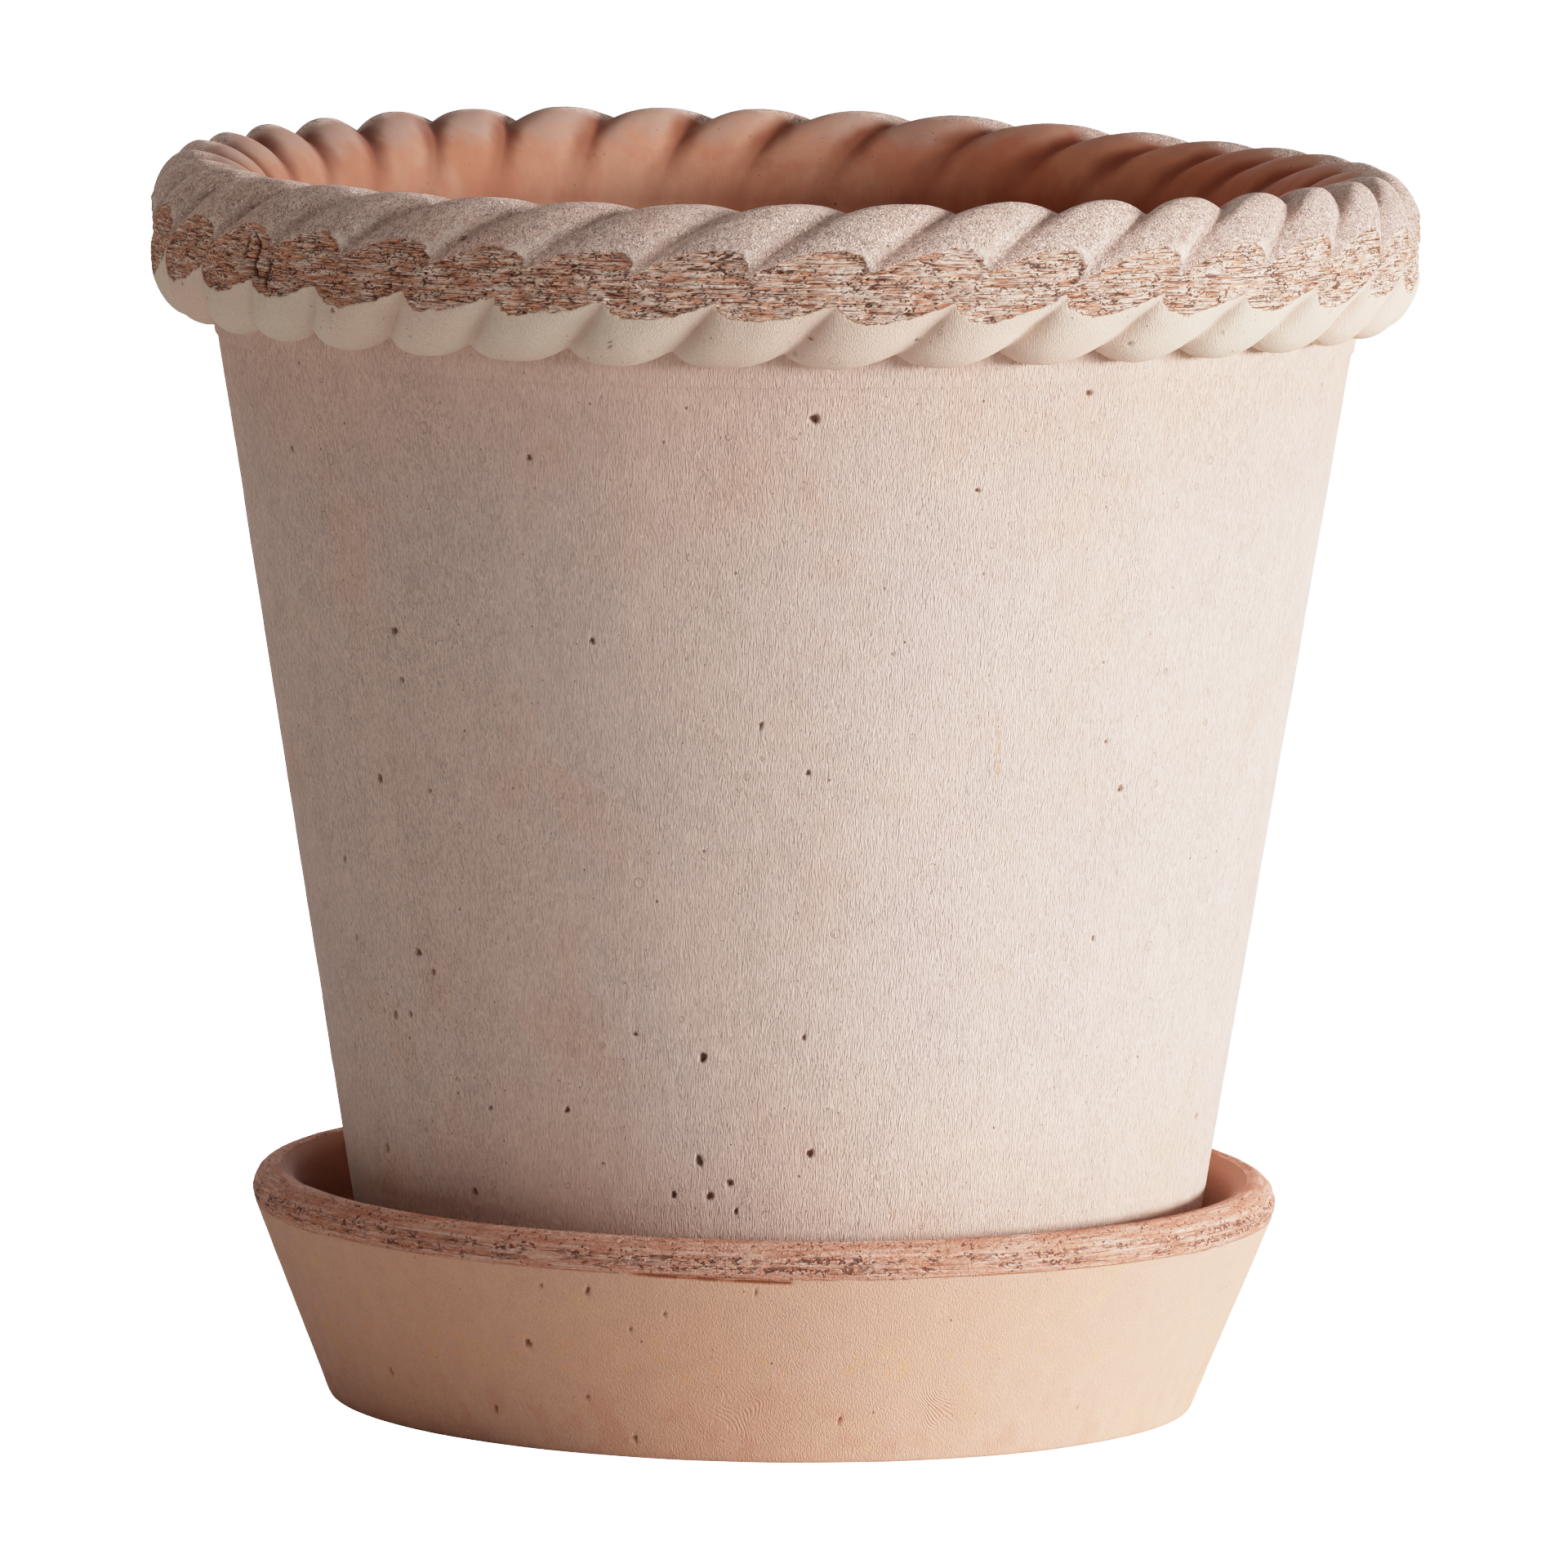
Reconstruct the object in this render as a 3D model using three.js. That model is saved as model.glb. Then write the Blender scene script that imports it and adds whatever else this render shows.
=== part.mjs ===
// Terracotta flowerpot with a rope-twist rim, standing in its own saucer.
// Units are millimetres, +Z is up, and the origin is the centre of the saucer's underside.
// Two separate pieces: the saucer, and the pot (wall, rope rim and base in one).
import * as THREE from "three";

// ---- Saucer dimensions ----
const SAUCER_BASE_R = 61.6; // outer radius near the underside
const SAUCER_LIP_R = 73.0; // outer radius of the lip, its widest point
const SAUCER_LIP_Z = 28.7; // height of the widest part of the lip
const SAUCER_TOP_R = 69.7; // radius of the lip's crest
const SAUCER_TOP_Z = 32.7; // height of the lip's crest
const SAUCER_FLOOR_Z = 8.0; // thickness of the floor
const SAUCER_FLOOR_R = 60.2; // radius of the flat inner floor
const SAUCER_SEGMENTS = 72;

// ---- Pot wall and base dimensions ----
const SEAT_GAP = 0.3; // clearance between the saucer's floor and the pot
const POT_FOOT_Z = SAUCER_FLOOR_Z + SEAT_GAP;
const POT_FOOT_R = 57.3; // outer radius at the foot
const POT_WALL_TOP_Z = 154.2; // where the wall meets the rope rim
const POT_WALL_TOP_R = 80.9;
const WALL_SLOPE = (POT_WALL_TOP_R - POT_FOOT_R) / (POT_WALL_TOP_Z - POT_FOOT_Z);
const POT_FLOOR_THICKNESS = 9.2;
const POT_FLOOR_Z = POT_FOOT_Z + POT_FLOOR_THICKNESS;
const POT_FLOOR_R = 44.5; // flat part of the inner floor
const POT_INNER_LOW_R = 50.4; // inner radius just above the floor's fillet
const POT_INNER_TOP_R = 71.3; // inner radius beside the lower part of the rim
const POT_INNER_TOP_DROP = 3.0; // how far that radius lies below the middle of the roll
const DRAIN_R = 10.0; // drainage hole in the middle of the base

// ---- Rope rim dimensions: a roll whose strands wind round it as a helix ----
const ROPE_R = 84.0; // radius of the roll's crest line
const ROPE_Z = 166.2; // height of the roll's middle
const RIM_OUTER_R = 90.0; // the roll's outside is flattened to this radius
const ROPE_WALL_CLEARANCE = 0.15; // how far the roll's underside stays outside the wall's cone
const STRANDS = 36;
const STRAND_PITCH_DEG = 360 / STRANDS;
const STRAND_PHASE_DEG = 5.8; // a groove on the outermost row, from -Y towards +X

// Half sizes of the roll's section at a strand's crest and at the bottom of a groove
const CREST = { height: 11.2, outward: 6.8, inward: 12.6 };
const GROOVE = { height: 9.0, outward: 6.1, inward: 11.0 };

// Columns of a strand, from one groove towards the next:
// [position across it in pitches, fullness (0 groove, 1 crest)]
const STRAND_COLUMNS = [
  [0.0, 0.0],
  [0.2, 0.72],
  [0.5, 1.0],
  [0.8, 0.72],
];
const POT_SEGMENTS = STRANDS * STRAND_COLUMNS.length;

// Rows round the roll: [section angle in degrees (0 outermost, 90 top, -90 underside),
// helix travel in strand pitches, share of the groove's depth that is left]
const ROPE_ROWS = [
  [-116, -0.58, 1.0],
  [-96, -0.53, 1.0],
  [-72, -0.45, 1.0],
  [-48, -0.37, 1.0],
  [-24.5, -0.25, 1.0],
  [2, 0.0, 1.0],
  [24.5, 0.27, 1.0],
  [42, 0.48, 1.0],
  [60, 0.7, 1.0],
  [76, 0.89, 1.0],
  [92, 1.05, 0.97],
  [110, 1.22, 0.85],
  [130, 1.41, 0.62],
  [152, 1.61, 0.36],
  [174, 1.8, 0.15],
];

const { degToRad, lerp } = THREE.MathUtils;

// Solid of revolution about +Y from [radius, height] pairs
function turned(profile, segments) {
  const points = profile.map(([radius, height]) => new THREE.Vector2(radius, height));
  return new THREE.LatheGeometry(points, segments);
}

// ---- Saucer: shallow flared dish with a rounded lip ----
function saucerGeometry() {
  // [radius, height], from the underside's centre round the lip to the inner floor's centre
  const profile = [
    [0, 0],
    [SAUCER_BASE_R - 1.2, 0],
    [SAUCER_BASE_R - 0.2, 0.4],
    [SAUCER_BASE_R + 0.6, 1.6],
    [SAUCER_LIP_R - 0.9, SAUCER_LIP_Z - 2.2],
    [SAUCER_LIP_R - 0.1, SAUCER_LIP_Z - 0.6],
    [SAUCER_LIP_R, SAUCER_LIP_Z + 0.6],
    [SAUCER_LIP_R - 0.9, SAUCER_LIP_Z + 2.5],
    [SAUCER_TOP_R + 1.2, SAUCER_TOP_Z - 0.3],
    [SAUCER_TOP_R, SAUCER_TOP_Z],
    [SAUCER_TOP_R - 1.6, SAUCER_TOP_Z - 0.4],
    [SAUCER_TOP_R - 2.7, SAUCER_TOP_Z - 1.7],
    [SAUCER_TOP_R - 3.3, SAUCER_TOP_Z - 4.0],
    [SAUCER_FLOOR_R + 1.9, SAUCER_FLOOR_Z + 3.0],
    [SAUCER_FLOOR_R + 1.2, SAUCER_FLOOR_Z + 1.0],
    [SAUCER_FLOOR_R, SAUCER_FLOOR_Z],
    [0, SAUCER_FLOOR_Z],
  ];
  return turned(profile, SAUCER_SEGMENTS);
}

// ---- Pot: a closed ring profile whose columns follow the strands ----
// A row of the pot is { twist, pointAt }, where pointAt(fullness) gives [radius, height]
function plainRow(radius, height, twist) {
  return { twist, pointAt: () => [radius, height] };
}

function ropeRow([angleDeg, twist, depth]) {
  const angle = degToRad(angleDeg);
  // the underside keeps the outward width even where it turns in past -90 degrees
  const side = Math.cos(angle) > 0 || angleDeg < 0 ? "outward" : "inward";

  function pointAt(fullness) {
    const full = lerp(1, fullness, depth);
    const halfWidth = lerp(GROOVE[side], CREST[side], full);
    const halfHeight = lerp(GROOVE.height, CREST.height, full);
    const height = ROPE_Z + halfHeight * Math.sin(angle);
    const radius = Math.min(ROPE_R + halfWidth * Math.cos(angle), RIM_OUTER_R);
    if (angleDeg >= -90) return [radius, height];
    const wallRadius = POT_WALL_TOP_R + (height - POT_WALL_TOP_Z) * WALL_SLOPE;
    return [Math.max(radius, wallRadius + ROPE_WALL_CLEARANCE), height];
  }
  return { twist, pointAt };
}

// Up the outside, over the rope, down the inside and through the drainage hole
function potRows() {
  const outerTwist = ROPE_ROWS[0][1];
  const innerTwist = ROPE_ROWS.at(-1)[1];
  return [
    plainRow(DRAIN_R, POT_FOOT_Z, outerTwist),
    plainRow(POT_FOOT_R - 1.6, POT_FOOT_Z, outerTwist),
    plainRow(POT_FOOT_R - 0.1, POT_FOOT_Z + 1.2, outerTwist),
    plainRow(POT_WALL_TOP_R, POT_WALL_TOP_Z, outerTwist),
    ...ROPE_ROWS.map(ropeRow),
    plainRow(POT_INNER_TOP_R, ROPE_Z - POT_INNER_TOP_DROP, innerTwist),
    plainRow(POT_INNER_LOW_R, POT_FLOOR_Z + 6.0, innerTwist),
    plainRow(POT_INNER_LOW_R - 2.2, POT_FLOOR_Z + 1.6, innerTwist),
    plainRow(POT_FLOOR_R, POT_FLOOR_Z, innerTwist),
    plainRow(DRAIN_R, POT_FLOOR_Z, outerTwist),
    plainRow(DRAIN_R, POT_FOOT_Z, outerTwist),
  ];
}

function potGeometry() {
  const rows = potRows();
  // The lathe supplies the faces; every vertex is then moved onto its twisted column
  const geometry = turned(rows.map((row) => row.pointAt(1)), POT_SEGMENTS);
  const position = geometry.getAttribute("position");
  for (let i = 0; i <= POT_SEGMENTS; i++) {
    const column = i % POT_SEGMENTS; // the last column repeats the first, closing the ring
    const strand = Math.floor(column / STRAND_COLUMNS.length);
    const [across, fullness] = STRAND_COLUMNS[column % STRAND_COLUMNS.length];
    rows.forEach(({ twist, pointAt }, j) => {
      const [radius, height] = pointAt(fullness);
      const turn = degToRad(STRAND_PHASE_DEG + STRAND_PITCH_DEG * (strand + across + twist));
      const x = radius * Math.sin(turn);
      const z = radius * Math.cos(turn);
      position.setXYZ(i * rows.length + j, x, height, z);
    });
  }
  return geometry;
}

// ---- Pieces ----
function clay(red, green, blue) {
  return new THREE.MeshStandardMaterial({
    color: new THREE.Color(red, green, blue),
    roughness: 0.92,
    metalness: 0,
  });
}

function piece(name, geometry, material) {
  geometry.deleteAttribute("uv");
  geometry.computeVertexNormals();
  const mesh = new THREE.Mesh(geometry, material);
  mesh.name = name;
  mesh.rotation.x = Math.PI / 2; // lathe axis +Y becomes +Z
  return mesh;
}

const saucerClay = clay(0.68, 0.37, 0.24);
const potClay = clay(0.7, 0.48, 0.39);

const group = new THREE.Group();
group.add(piece("saucer", saucerGeometry(), saucerClay));
group.add(piece("pot", potGeometry(), potClay));

export default group;
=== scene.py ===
"""Terracotta pot with a rope rim, standing in its saucer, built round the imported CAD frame.

The pot stands upright on +Z and its front faces -Y. Mesh code works in millimetres and writes
metres. Angles run from -Y towards +X, so negative angles are on the left seen from the front.
"""

import math
from dataclasses import dataclass
from functools import partial
from types import SimpleNamespace

import bpy
import numpy as np
from mathutils import Matrix, Vector


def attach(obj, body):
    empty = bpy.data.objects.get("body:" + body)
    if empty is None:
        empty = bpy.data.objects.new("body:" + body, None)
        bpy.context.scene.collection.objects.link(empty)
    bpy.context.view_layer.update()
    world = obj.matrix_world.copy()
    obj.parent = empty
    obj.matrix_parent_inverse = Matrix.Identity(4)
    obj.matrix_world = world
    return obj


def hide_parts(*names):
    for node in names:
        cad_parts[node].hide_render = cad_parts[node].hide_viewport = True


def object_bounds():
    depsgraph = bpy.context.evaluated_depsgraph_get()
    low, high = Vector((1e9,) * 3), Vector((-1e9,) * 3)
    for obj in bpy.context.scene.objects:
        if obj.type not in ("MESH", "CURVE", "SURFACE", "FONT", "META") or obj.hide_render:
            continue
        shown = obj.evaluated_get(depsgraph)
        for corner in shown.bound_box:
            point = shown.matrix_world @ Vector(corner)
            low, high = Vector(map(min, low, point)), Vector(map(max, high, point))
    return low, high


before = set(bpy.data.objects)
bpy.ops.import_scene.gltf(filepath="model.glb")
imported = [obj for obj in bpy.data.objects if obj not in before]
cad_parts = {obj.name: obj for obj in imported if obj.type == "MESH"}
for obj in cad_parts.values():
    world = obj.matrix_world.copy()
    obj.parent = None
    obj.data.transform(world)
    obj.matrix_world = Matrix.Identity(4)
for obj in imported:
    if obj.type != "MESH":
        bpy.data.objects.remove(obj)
cad_low, cad_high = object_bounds()
cad_low, cad_high = list(cad_low), list(cad_high)

TAU = 2 * math.pi
MM = 0.001

# ------------------------------------------------------------------ driving dimensions, mm
SHIFT_X = -1.0  # the whole product sits this far off the Z axis
BASE_Z = 8.0  # the wall's slope and lean are measured from here
FOOT_Z, FOOT_R = 8.3, 57.35
WALL_SLOPE = 0.1613
ROPE_R, ROPE_Z = 84.0, 166.2  # centre line of the roll
CUT_R = 90.0  # radius of the torn, flat band round the roll
SEAM_Z = 152.0  # rim and body are separate meshes that meet here outside
SEAM_IN_Z = 158.0  # and here inside
INNER_TOP = (ROPE_Z - 3.0, 71.3)  # height, radius of the straight inner wall
INNER_LOW = (23.5, 50.4)
DRAIN_R = 10.0
POT_FLOOR_Z = 17.5
SAUCER_UNDER_Z, SAUCER_FLOOR_Z = 0.35, 7.95


def wall_radius(z):
    return FOOT_R + (z - BASE_Z) * WALL_SLOPE


def inner_radius(z):
    (top_z, top_r), (low_z, low_r) = INNER_TOP, INNER_LOW
    return low_r + (z - low_z) / (top_z - low_z) * (top_r - low_r)


# ------------------------------------------------------------------ curves and spacing
def ease(value, start, stop):
    """Smooth step: 0 at start, 1 at stop; start may be the larger."""
    t = np.clip((value - start) / (stop - start), 0, 1)
    return t * t * (3 - 2 * t)


def bump(offset, width):
    return np.exp(-((offset / width) ** 2))


def wrapped(angle, turn=TAU):
    """The angle brought within half a turn of zero."""
    return (angle + turn / 2) % turn - turn / 2


def path_length(points):
    """Distance along a polyline, at each of its points."""
    steps = np.linalg.norm(np.diff(points, axis=0), axis=-1)
    return np.concatenate([[0], np.cumsum(steps)])


def smooth_table(stations):
    """A function through (x, y) stations, with its corners blurred."""
    stations = np.array(stations, float)
    fine = np.linspace(stations[0, 0], stations[-1, 0], 1200)
    values = np.interp(fine, stations[:, 0], stations[:, 1])
    kernel = np.hanning(61)
    values = np.convolve(np.pad(values, 30, mode="edge"), kernel / kernel.sum(), mode="valid")
    return lambda x: np.interp(x, fine, values)


def spread(first, last, step_of):
    """Positions from first to last whose spacing follows step_of(x)."""
    fine = np.linspace(first, last, 8000)
    density = 1.0 / step_of(fine)
    areas = (density[1:] + density[:-1]) / 2 * np.diff(fine)
    total = np.concatenate([[0], np.cumsum(areas)])
    count = max(2, int(math.ceil(total[-1])))
    return np.interp(np.linspace(0, total[-1], count + 1), total, fine)


# ------------------------------------------------------------------ seeded noise
def hashed(column, row, seed):
    bits = (column * 374761393 + row * 668265263 + seed * 974711) & 0xFFFFFFFF
    bits = ((bits ^ (bits >> 13)) * 1274126177) & 0xFFFFFFFF
    return bits ^ (bits >> 16)


def gradient_noise(across, up, period, seed):
    """Noise in -1..1 on cells across (wrapping at period) and up."""
    column, row = np.floor(across).astype(np.int64), np.floor(up).astype(np.int64)
    part_x, part_y = across - column, up - row

    def fade(t):
        return t * t * t * (t * (t * 6 - 15) + 10)

    def corner(right, above):
        bits = hashed((column + right) % period, row + above, seed) & 0xFFFF
        angle = bits * (TAU / 65536)
        return np.cos(angle) * (part_x - right) + np.sin(angle) * (part_y - above)

    low_left, low_right = corner(0, 0), corner(1, 0)
    high_left, high_right = corner(0, 1), corner(1, 1)
    low = low_left + (low_right - low_left) * fade(part_x)
    high = high_left + (high_right - high_left) * fade(part_x)
    return 1.5 * (low + (high - low) * fade(part_y))


def fractal(angle, height, radius, cell, seed, octaves=2):
    """Layered noise on a turned surface: angle in radians, cell = (width, height) in mm."""
    total, weight, weights = 0.0, 1.0, 0.0
    for octave in range(octaves):
        wide, high = (size / 2**octave for size in cell)
        period = max(3, int(round(TAU * radius / wide)))
        across, up = angle / TAU * period, height / high + 17.3 * octave
        total = total + weight * gradient_noise(across, up, period, seed + 101 * octave)
        weights += weight
        weight *= 0.5
    return total / weights


# ------------------------------------------------------------------ meshes from rings
@dataclass
class Ring:
    first: int  # index of its first vertex
    turn: np.ndarray  # rising position round the ring, in turns
    points: np.ndarray  # (n, 3), mm
    arc: float  # distance along the profile, mm
    attributes: dict


def circle(count):
    """Turns and angles of evenly spaced points."""
    turn = np.arange(count) / count
    return turn, turn * TAU - math.pi


def zip_rings(low, high):
    """Triangles between rings of different counts: which ring and which step each corner is."""
    turns = [np.append(ring.turn, ring.turn[0] + 1) for ring in (low, high)]
    # a ring of one point is a pole and never advances
    stop_p, stop_q = (len(ring.turn) if len(ring.turn) > 1 else 0 for ring in (low, high))
    corners = []
    p = q = 0
    while p < stop_p or q < stop_q:
        if q >= stop_q or (p < stop_p and turns[0][p + 1] <= turns[1][q + 1]):
            corners.append(((0, p), (0, p + 1), (1, q)))
            p += 1
        else:
            corners.append(((0, p), (1, q + 1), (1, q)))
            q += 1
    corners = np.array(corners)
    return corners[..., 0], corners[..., 1]


class Surface:
    """A closed mesh made of rings of points; rings may have different counts."""

    def __init__(self):
        self.rings = []
        self.count = 0
        self.faces = {4: [], 3: []}  # corners per face: (faces, uv, is it a cap) per band

    def ring(self, turn, points, arc=0.0, **attributes):
        points = np.asarray(points, float)
        self.rings.append(Ring(self.count, np.asarray(turn, float), points, arc, attributes))
        self.count += len(points)

    def stack(self, turn, rows, arcs, **attributes):
        """One ring per row of points; attributes have a row for each."""
        for i, points in enumerate(rows):
            values = {name: value[i] for name, value in attributes.items()}
            self.ring(turn, points, float(arcs[i]), **values)

    def band(self, low, high, chart, cap=False):
        """Faces between two rings.

        They face out when the profile runs outwards below and upwards outside."""
        count, other = len(low.turn), len(high.turn)
        if count == other:
            side, step = np.array([0, 0, 1, 1]), np.arange(count)[:, None] + [0, 1, 1, 0]
        else:
            side, step = zip_rings(low, high)
        index = step % np.array([count, other])[side]
        faces = index + np.array([low.first, high.first])[side]
        places = np.concatenate([low.points, high.points])[:, :2]
        turns = np.concatenate([low.turn, [low.turn[0] + 1], high.turn, [high.turn[0] + 1]])
        turn = turns[step + np.array([0, count + 1])[side]]
        arc = np.broadcast_to(np.array([low.arc, high.arc])[side], step.shape)
        uv = chart(turn, arc, places[index + np.array([0, count])[side]])
        self.faces[faces.shape[1]].append((faces, uv, cap))

    def skin(self, *spans, cap=None):
        """Bands from ring to ring for (chart, band count) spans; cap is the chart of a cap."""
        charts = [chart for chart, count in spans for _ in range(count)]
        for ring, after, chart in zip(self.rings, self.rings[1:] + self.rings[:1], charts):
            self.band(ring, after, chart, cap=chart is cap)

    def values(self, points):
        """Per-vertex attributes, with the position in metres as px, py and pz."""
        names = dict.fromkeys(name for ring in self.rings for name in ring.attributes)
        values = {}
        for name in names:
            parts = [
                np.broadcast_to(ring.attributes.get(name, 0.0), len(ring.turn))
                for ring in self.rings
            ]
            values[name] = np.concatenate(parts)
        return values | {"px": points[:, 0], "py": points[:, 1], "pz": points[:, 2]}

    def mesh(self, name):
        points = np.concatenate([ring.points for ring in self.rings]) * MM
        parts = self.faces[4] + self.faces[3]
        loops = np.concatenate([faces.ravel() for faces, _, _ in parts]).astype(np.int32)
        sizes = np.concatenate([np.full(len(faces), faces.shape[1]) for faces, _, _ in parts])
        in_cap = np.concatenate([np.full(faces.size, cap) for faces, _, cap in parts])
        uv = np.concatenate([uv.reshape(-1, 2) for _, uv, _ in parts])

        me = bpy.data.meshes.new(name)
        me.vertices.add(len(points))
        me.vertices.foreach_set("co", points.astype(np.float32).ravel())
        me.loops.add(len(loops))
        me.loops.foreach_set("vertex_index", loops)
        me.polygons.add(len(sizes))
        me.polygons.foreach_set("loop_start", (np.cumsum(sizes) - sizes).astype(np.int32))
        me.update(calc_edges=True)
        layer = me.uv_layers.new(name="OFBake")
        layer.data.foreach_set("uv", uv.astype(np.float32).ravel())
        me.polygons.foreach_set("use_smooth", np.ones(len(sizes), bool))
        for key, value in self.values(points).items():
            attribute = me.attributes.new(key, "FLOAT", "POINT")
            attribute.data.foreach_set("value", value.astype(np.float32))
        if in_cap.any():
            mark_cap_border(me, loops, in_cap)
        me.validate()
        ob = bpy.data.objects.new(name, me)
        bpy.context.scene.collection.objects.link(ob)
        return ob


def mark_cap_border(me, loops, in_cap):
    """Makes a cap's border sharp, so the cap doesn't bend the shading beside it."""
    capped, open_side = np.zeros(len(me.vertices), bool), np.zeros(len(me.vertices), bool)
    capped[loops[in_cap]] = True
    open_side[loops[~in_cap]] = True
    border = capped & open_side
    ends = np.zeros(len(me.edges) * 2, np.int32)
    me.edges.foreach_get("vertices", ends)
    attribute = me.attributes.new("sharp_edge", "BOOLEAN", "EDGE")
    attribute.data.foreach_set("value", border[ends.reshape(-1, 2)].all(axis=1))


def strips(count, bottom, height, arcs, width=1.0):
    """Chart: a turned surface cut into stacked strips, from U 0 and V bottom."""
    each, gap = height / count, 0.004
    first, last = arcs

    def chart(turn, arc, xy):
        strip = np.clip(np.floor(turn.mean(1) * count), 0, count - 1)[:, None]
        across = (turn * count - strip) * (width - 2 * gap) + gap
        up = bottom + strip * each + gap + (arc - first) / (last - first) * (each - 2 * gap)
        return np.stack([across, up], -1)

    return chart


def disc(centre, radius_uv, radius_mm):
    """Chart: the surface seen along Z."""

    def chart(turn, arc, xy):
        return np.asarray(centre) + xy / radius_mm * radius_uv

    return chart


# ------------------------------------------------------------------ hand-made unevenness
def pot_place(angle, radius, z):
    """Profile point to space, with the pot's small lean and the rim's gentle waviness."""
    grow = np.clip((z - BASE_Z) / 158.0, 0, 1.05)
    radius = radius + 0.16 * grow * fractal(angle, z, 80.0, cell=(60.0, 45.0), seed=5)
    x, y = radius * np.sin(angle), -radius * np.cos(angle)
    around = np.arctan2(y, x)
    lift = -0.002 * x - 0.2507 * np.cos(2 * around) - 0.6338 * np.sin(2 * around)
    x = x + 2.12 - 0.0092 * (z - BASE_Z) + SHIFT_X
    return np.stack([x, y, z + grow * lift], -1)


# ------------------------------------------------------------------ pits in the clay
# angle in degrees, height on the pot, the pit's width and height in mm
WALL_PITS = [
    (-10.0, 42.4, 1.0, 1.4), (3.0, 147.7, 1.2, 1.0), (-9.2, 57.3, 1.15, 1.1), (-8.7, 37.4, 1.2, 0.9),
    (4.1, 43.8, 0.9, 1.1), (-6.1, 39.4, 0.8, 1.0), (-48.8, 68.9, 1.2, 0.9), (-52.0, 93.4, 0.95, 1.0),
    (-62.2, 38.9, 1.3, 1.1), (-27.4, 48.6, 0.8, 0.8), (-55.1, 59.1, 0.8, 1.1),
    (-46.3, 115.0, 0.85, 1.0), (-43.4, 35.2, 0.9, 1.0), (-20.5, 115.9, 0.65, 0.8),
    (-13.4, 37.4, 0.75, 0.8), (-5.3, 35.3, 0.6, 0.8), (3.1, 60.4, 0.55, 0.8), (31.6, 150.6, 0.7, 0.9),
    (-26.4, 141.3, 0.6, 0.8), (-46.4, 66.4, 0.7, 0.8), (-51.8, 59.7, 0.8, 0.7), (3.0, 98.0, 0.6, 0.7),
    (-2.2, 104.5, 0.4, 1.2), (69.5, 44.3, 1.1, 0.9), (-17.6, 60.2, 0.5, 0.7), (-61.1, 139.0, 0.7, 0.7),
    (-46.0, 108.1, 0.6, 0.7), (41.6, 94.2, 0.85, 0.8), (-39.1, 47.7, 0.7, 0.5), (-62.4, 69.1, 0.7, 0.9),
    (20.0, 137.5, 0.6, 0.6), (38.6, 101.1, 0.5, 0.6), (-43.4, 92.6, 0.5, 0.6), (40.2, 73.0, 0.6, 0.7),
    (-62.4, 80.4, 0.9, 0.7),
]
SAUCER_PITS = [
    (-28.5, 16.0, 1.0, 0.9), (-16.0, 2.9, 0.8, 0.6), (-35.4, 5.4, 0.8, 0.7), (-19.8, 24.7, 0.7, 0.8),
    (-21.7, 8.5, 0.6, 0.6), (-11.0, 21.7, 0.5, 0.5), (-53.0, 8.4, 0.8, 0.6), (-15.2, 19.2, 0.5, 0.6),
    (-0.7, 25.6, 0.5, 0.6), (-25.3, 25.0, 0.45, 0.5), (43.9, 6.3, 0.6, 0.5), (9.9, 6.5, 0.5, 0.9),
]
# angle in degrees, height and diameter in mm
RIM_PITS = [
    (2.4, 159.4, 0.55), (-15.6, 158.6, 0.5), (-15.6, 157.9, 0.45), (-44.0, 160.9, 0.7),
    (-58.0, 173.5, 0.6), (-49.0, 171.6, 0.6), (12.0, 159.2, 0.5), (-30.0, 172.0, 0.5),
    (33.0, 158.0, 0.6), (51.0, 173.0, 0.5),
]


def back_pits(count, low, high, seed):
    """Random pits round the back, between two heights."""
    rng = np.random.default_rng(seed)
    return [
        (rng.uniform(88, 272), rng.uniform(low, high), size, size * rng.uniform(0.8, 1.3))
        for size in rng.uniform(0.55, 1.2, count)
    ]


def dig_pits(angle, height, radius, pits, depth):
    """Depth to take off and how dark, for irregular little holes."""
    angle, height = np.broadcast_arrays(angle, height)
    take, dark = np.zeros(angle.shape), np.zeros(angle.shape)
    for i, (pit_angle, pit_z, wide, high) in enumerate(pits):
        across = wrapped(angle - math.radians(pit_angle)) * radius
        near = (np.abs(across) < 2.5) & (np.abs(height - pit_z) < 2.5)
        x, y = across[near] / (wide / 2), (height[near] - pit_z) / (high / 2)
        around = np.arctan2(y, x)
        ragged = 1 + 0.14 * np.sin(2 * around + i) + 0.10 * np.sin(3 * around + 2.1 * i)
        distance = np.hypot(x, y) * ragged
        hollow = ease(distance, 1.25, 0.7) * min(wide, high) * depth
        take[near] = np.maximum(take[near], hollow)
        dark[near] = np.maximum(dark[near], ease(distance, 1.2, 0.8))
    return take, dark


def finer_at(centres, base, fine, reach, scale=1.0):
    """Spacing function: base mm, and fine mm within reach of a centre; scale is mm per unit."""
    centres = np.array(centres)

    def step(x):
        near = np.min(np.abs(x[:, None] - centres[None, :]), axis=1) * scale
        return (fine + (base - fine) * ease(near, reach, reach * 2.2)) / scale

    return step


def pitted_columns(pits, base, fine, reach, radius):
    """Turns and angles of upright mesh lines that crowd round the pits."""
    centres = [pit[0] for pit in pits]
    step = finer_at(centres, base=base, fine=fine, reach=reach, scale=radius / 57.3)
    degrees = spread(-180, 180, step)[:-1]
    return (degrees + 180) / 360, np.radians(degrees)


# ------------------------------------------------------------------ the rope rim
# "phi" is the ellipse angle round the roll's section, in degrees: 0 outermost, 90 on top
COLS_PER_STRAND = 44
PHI_START, PHI_END = -124.0, 188.0
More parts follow.
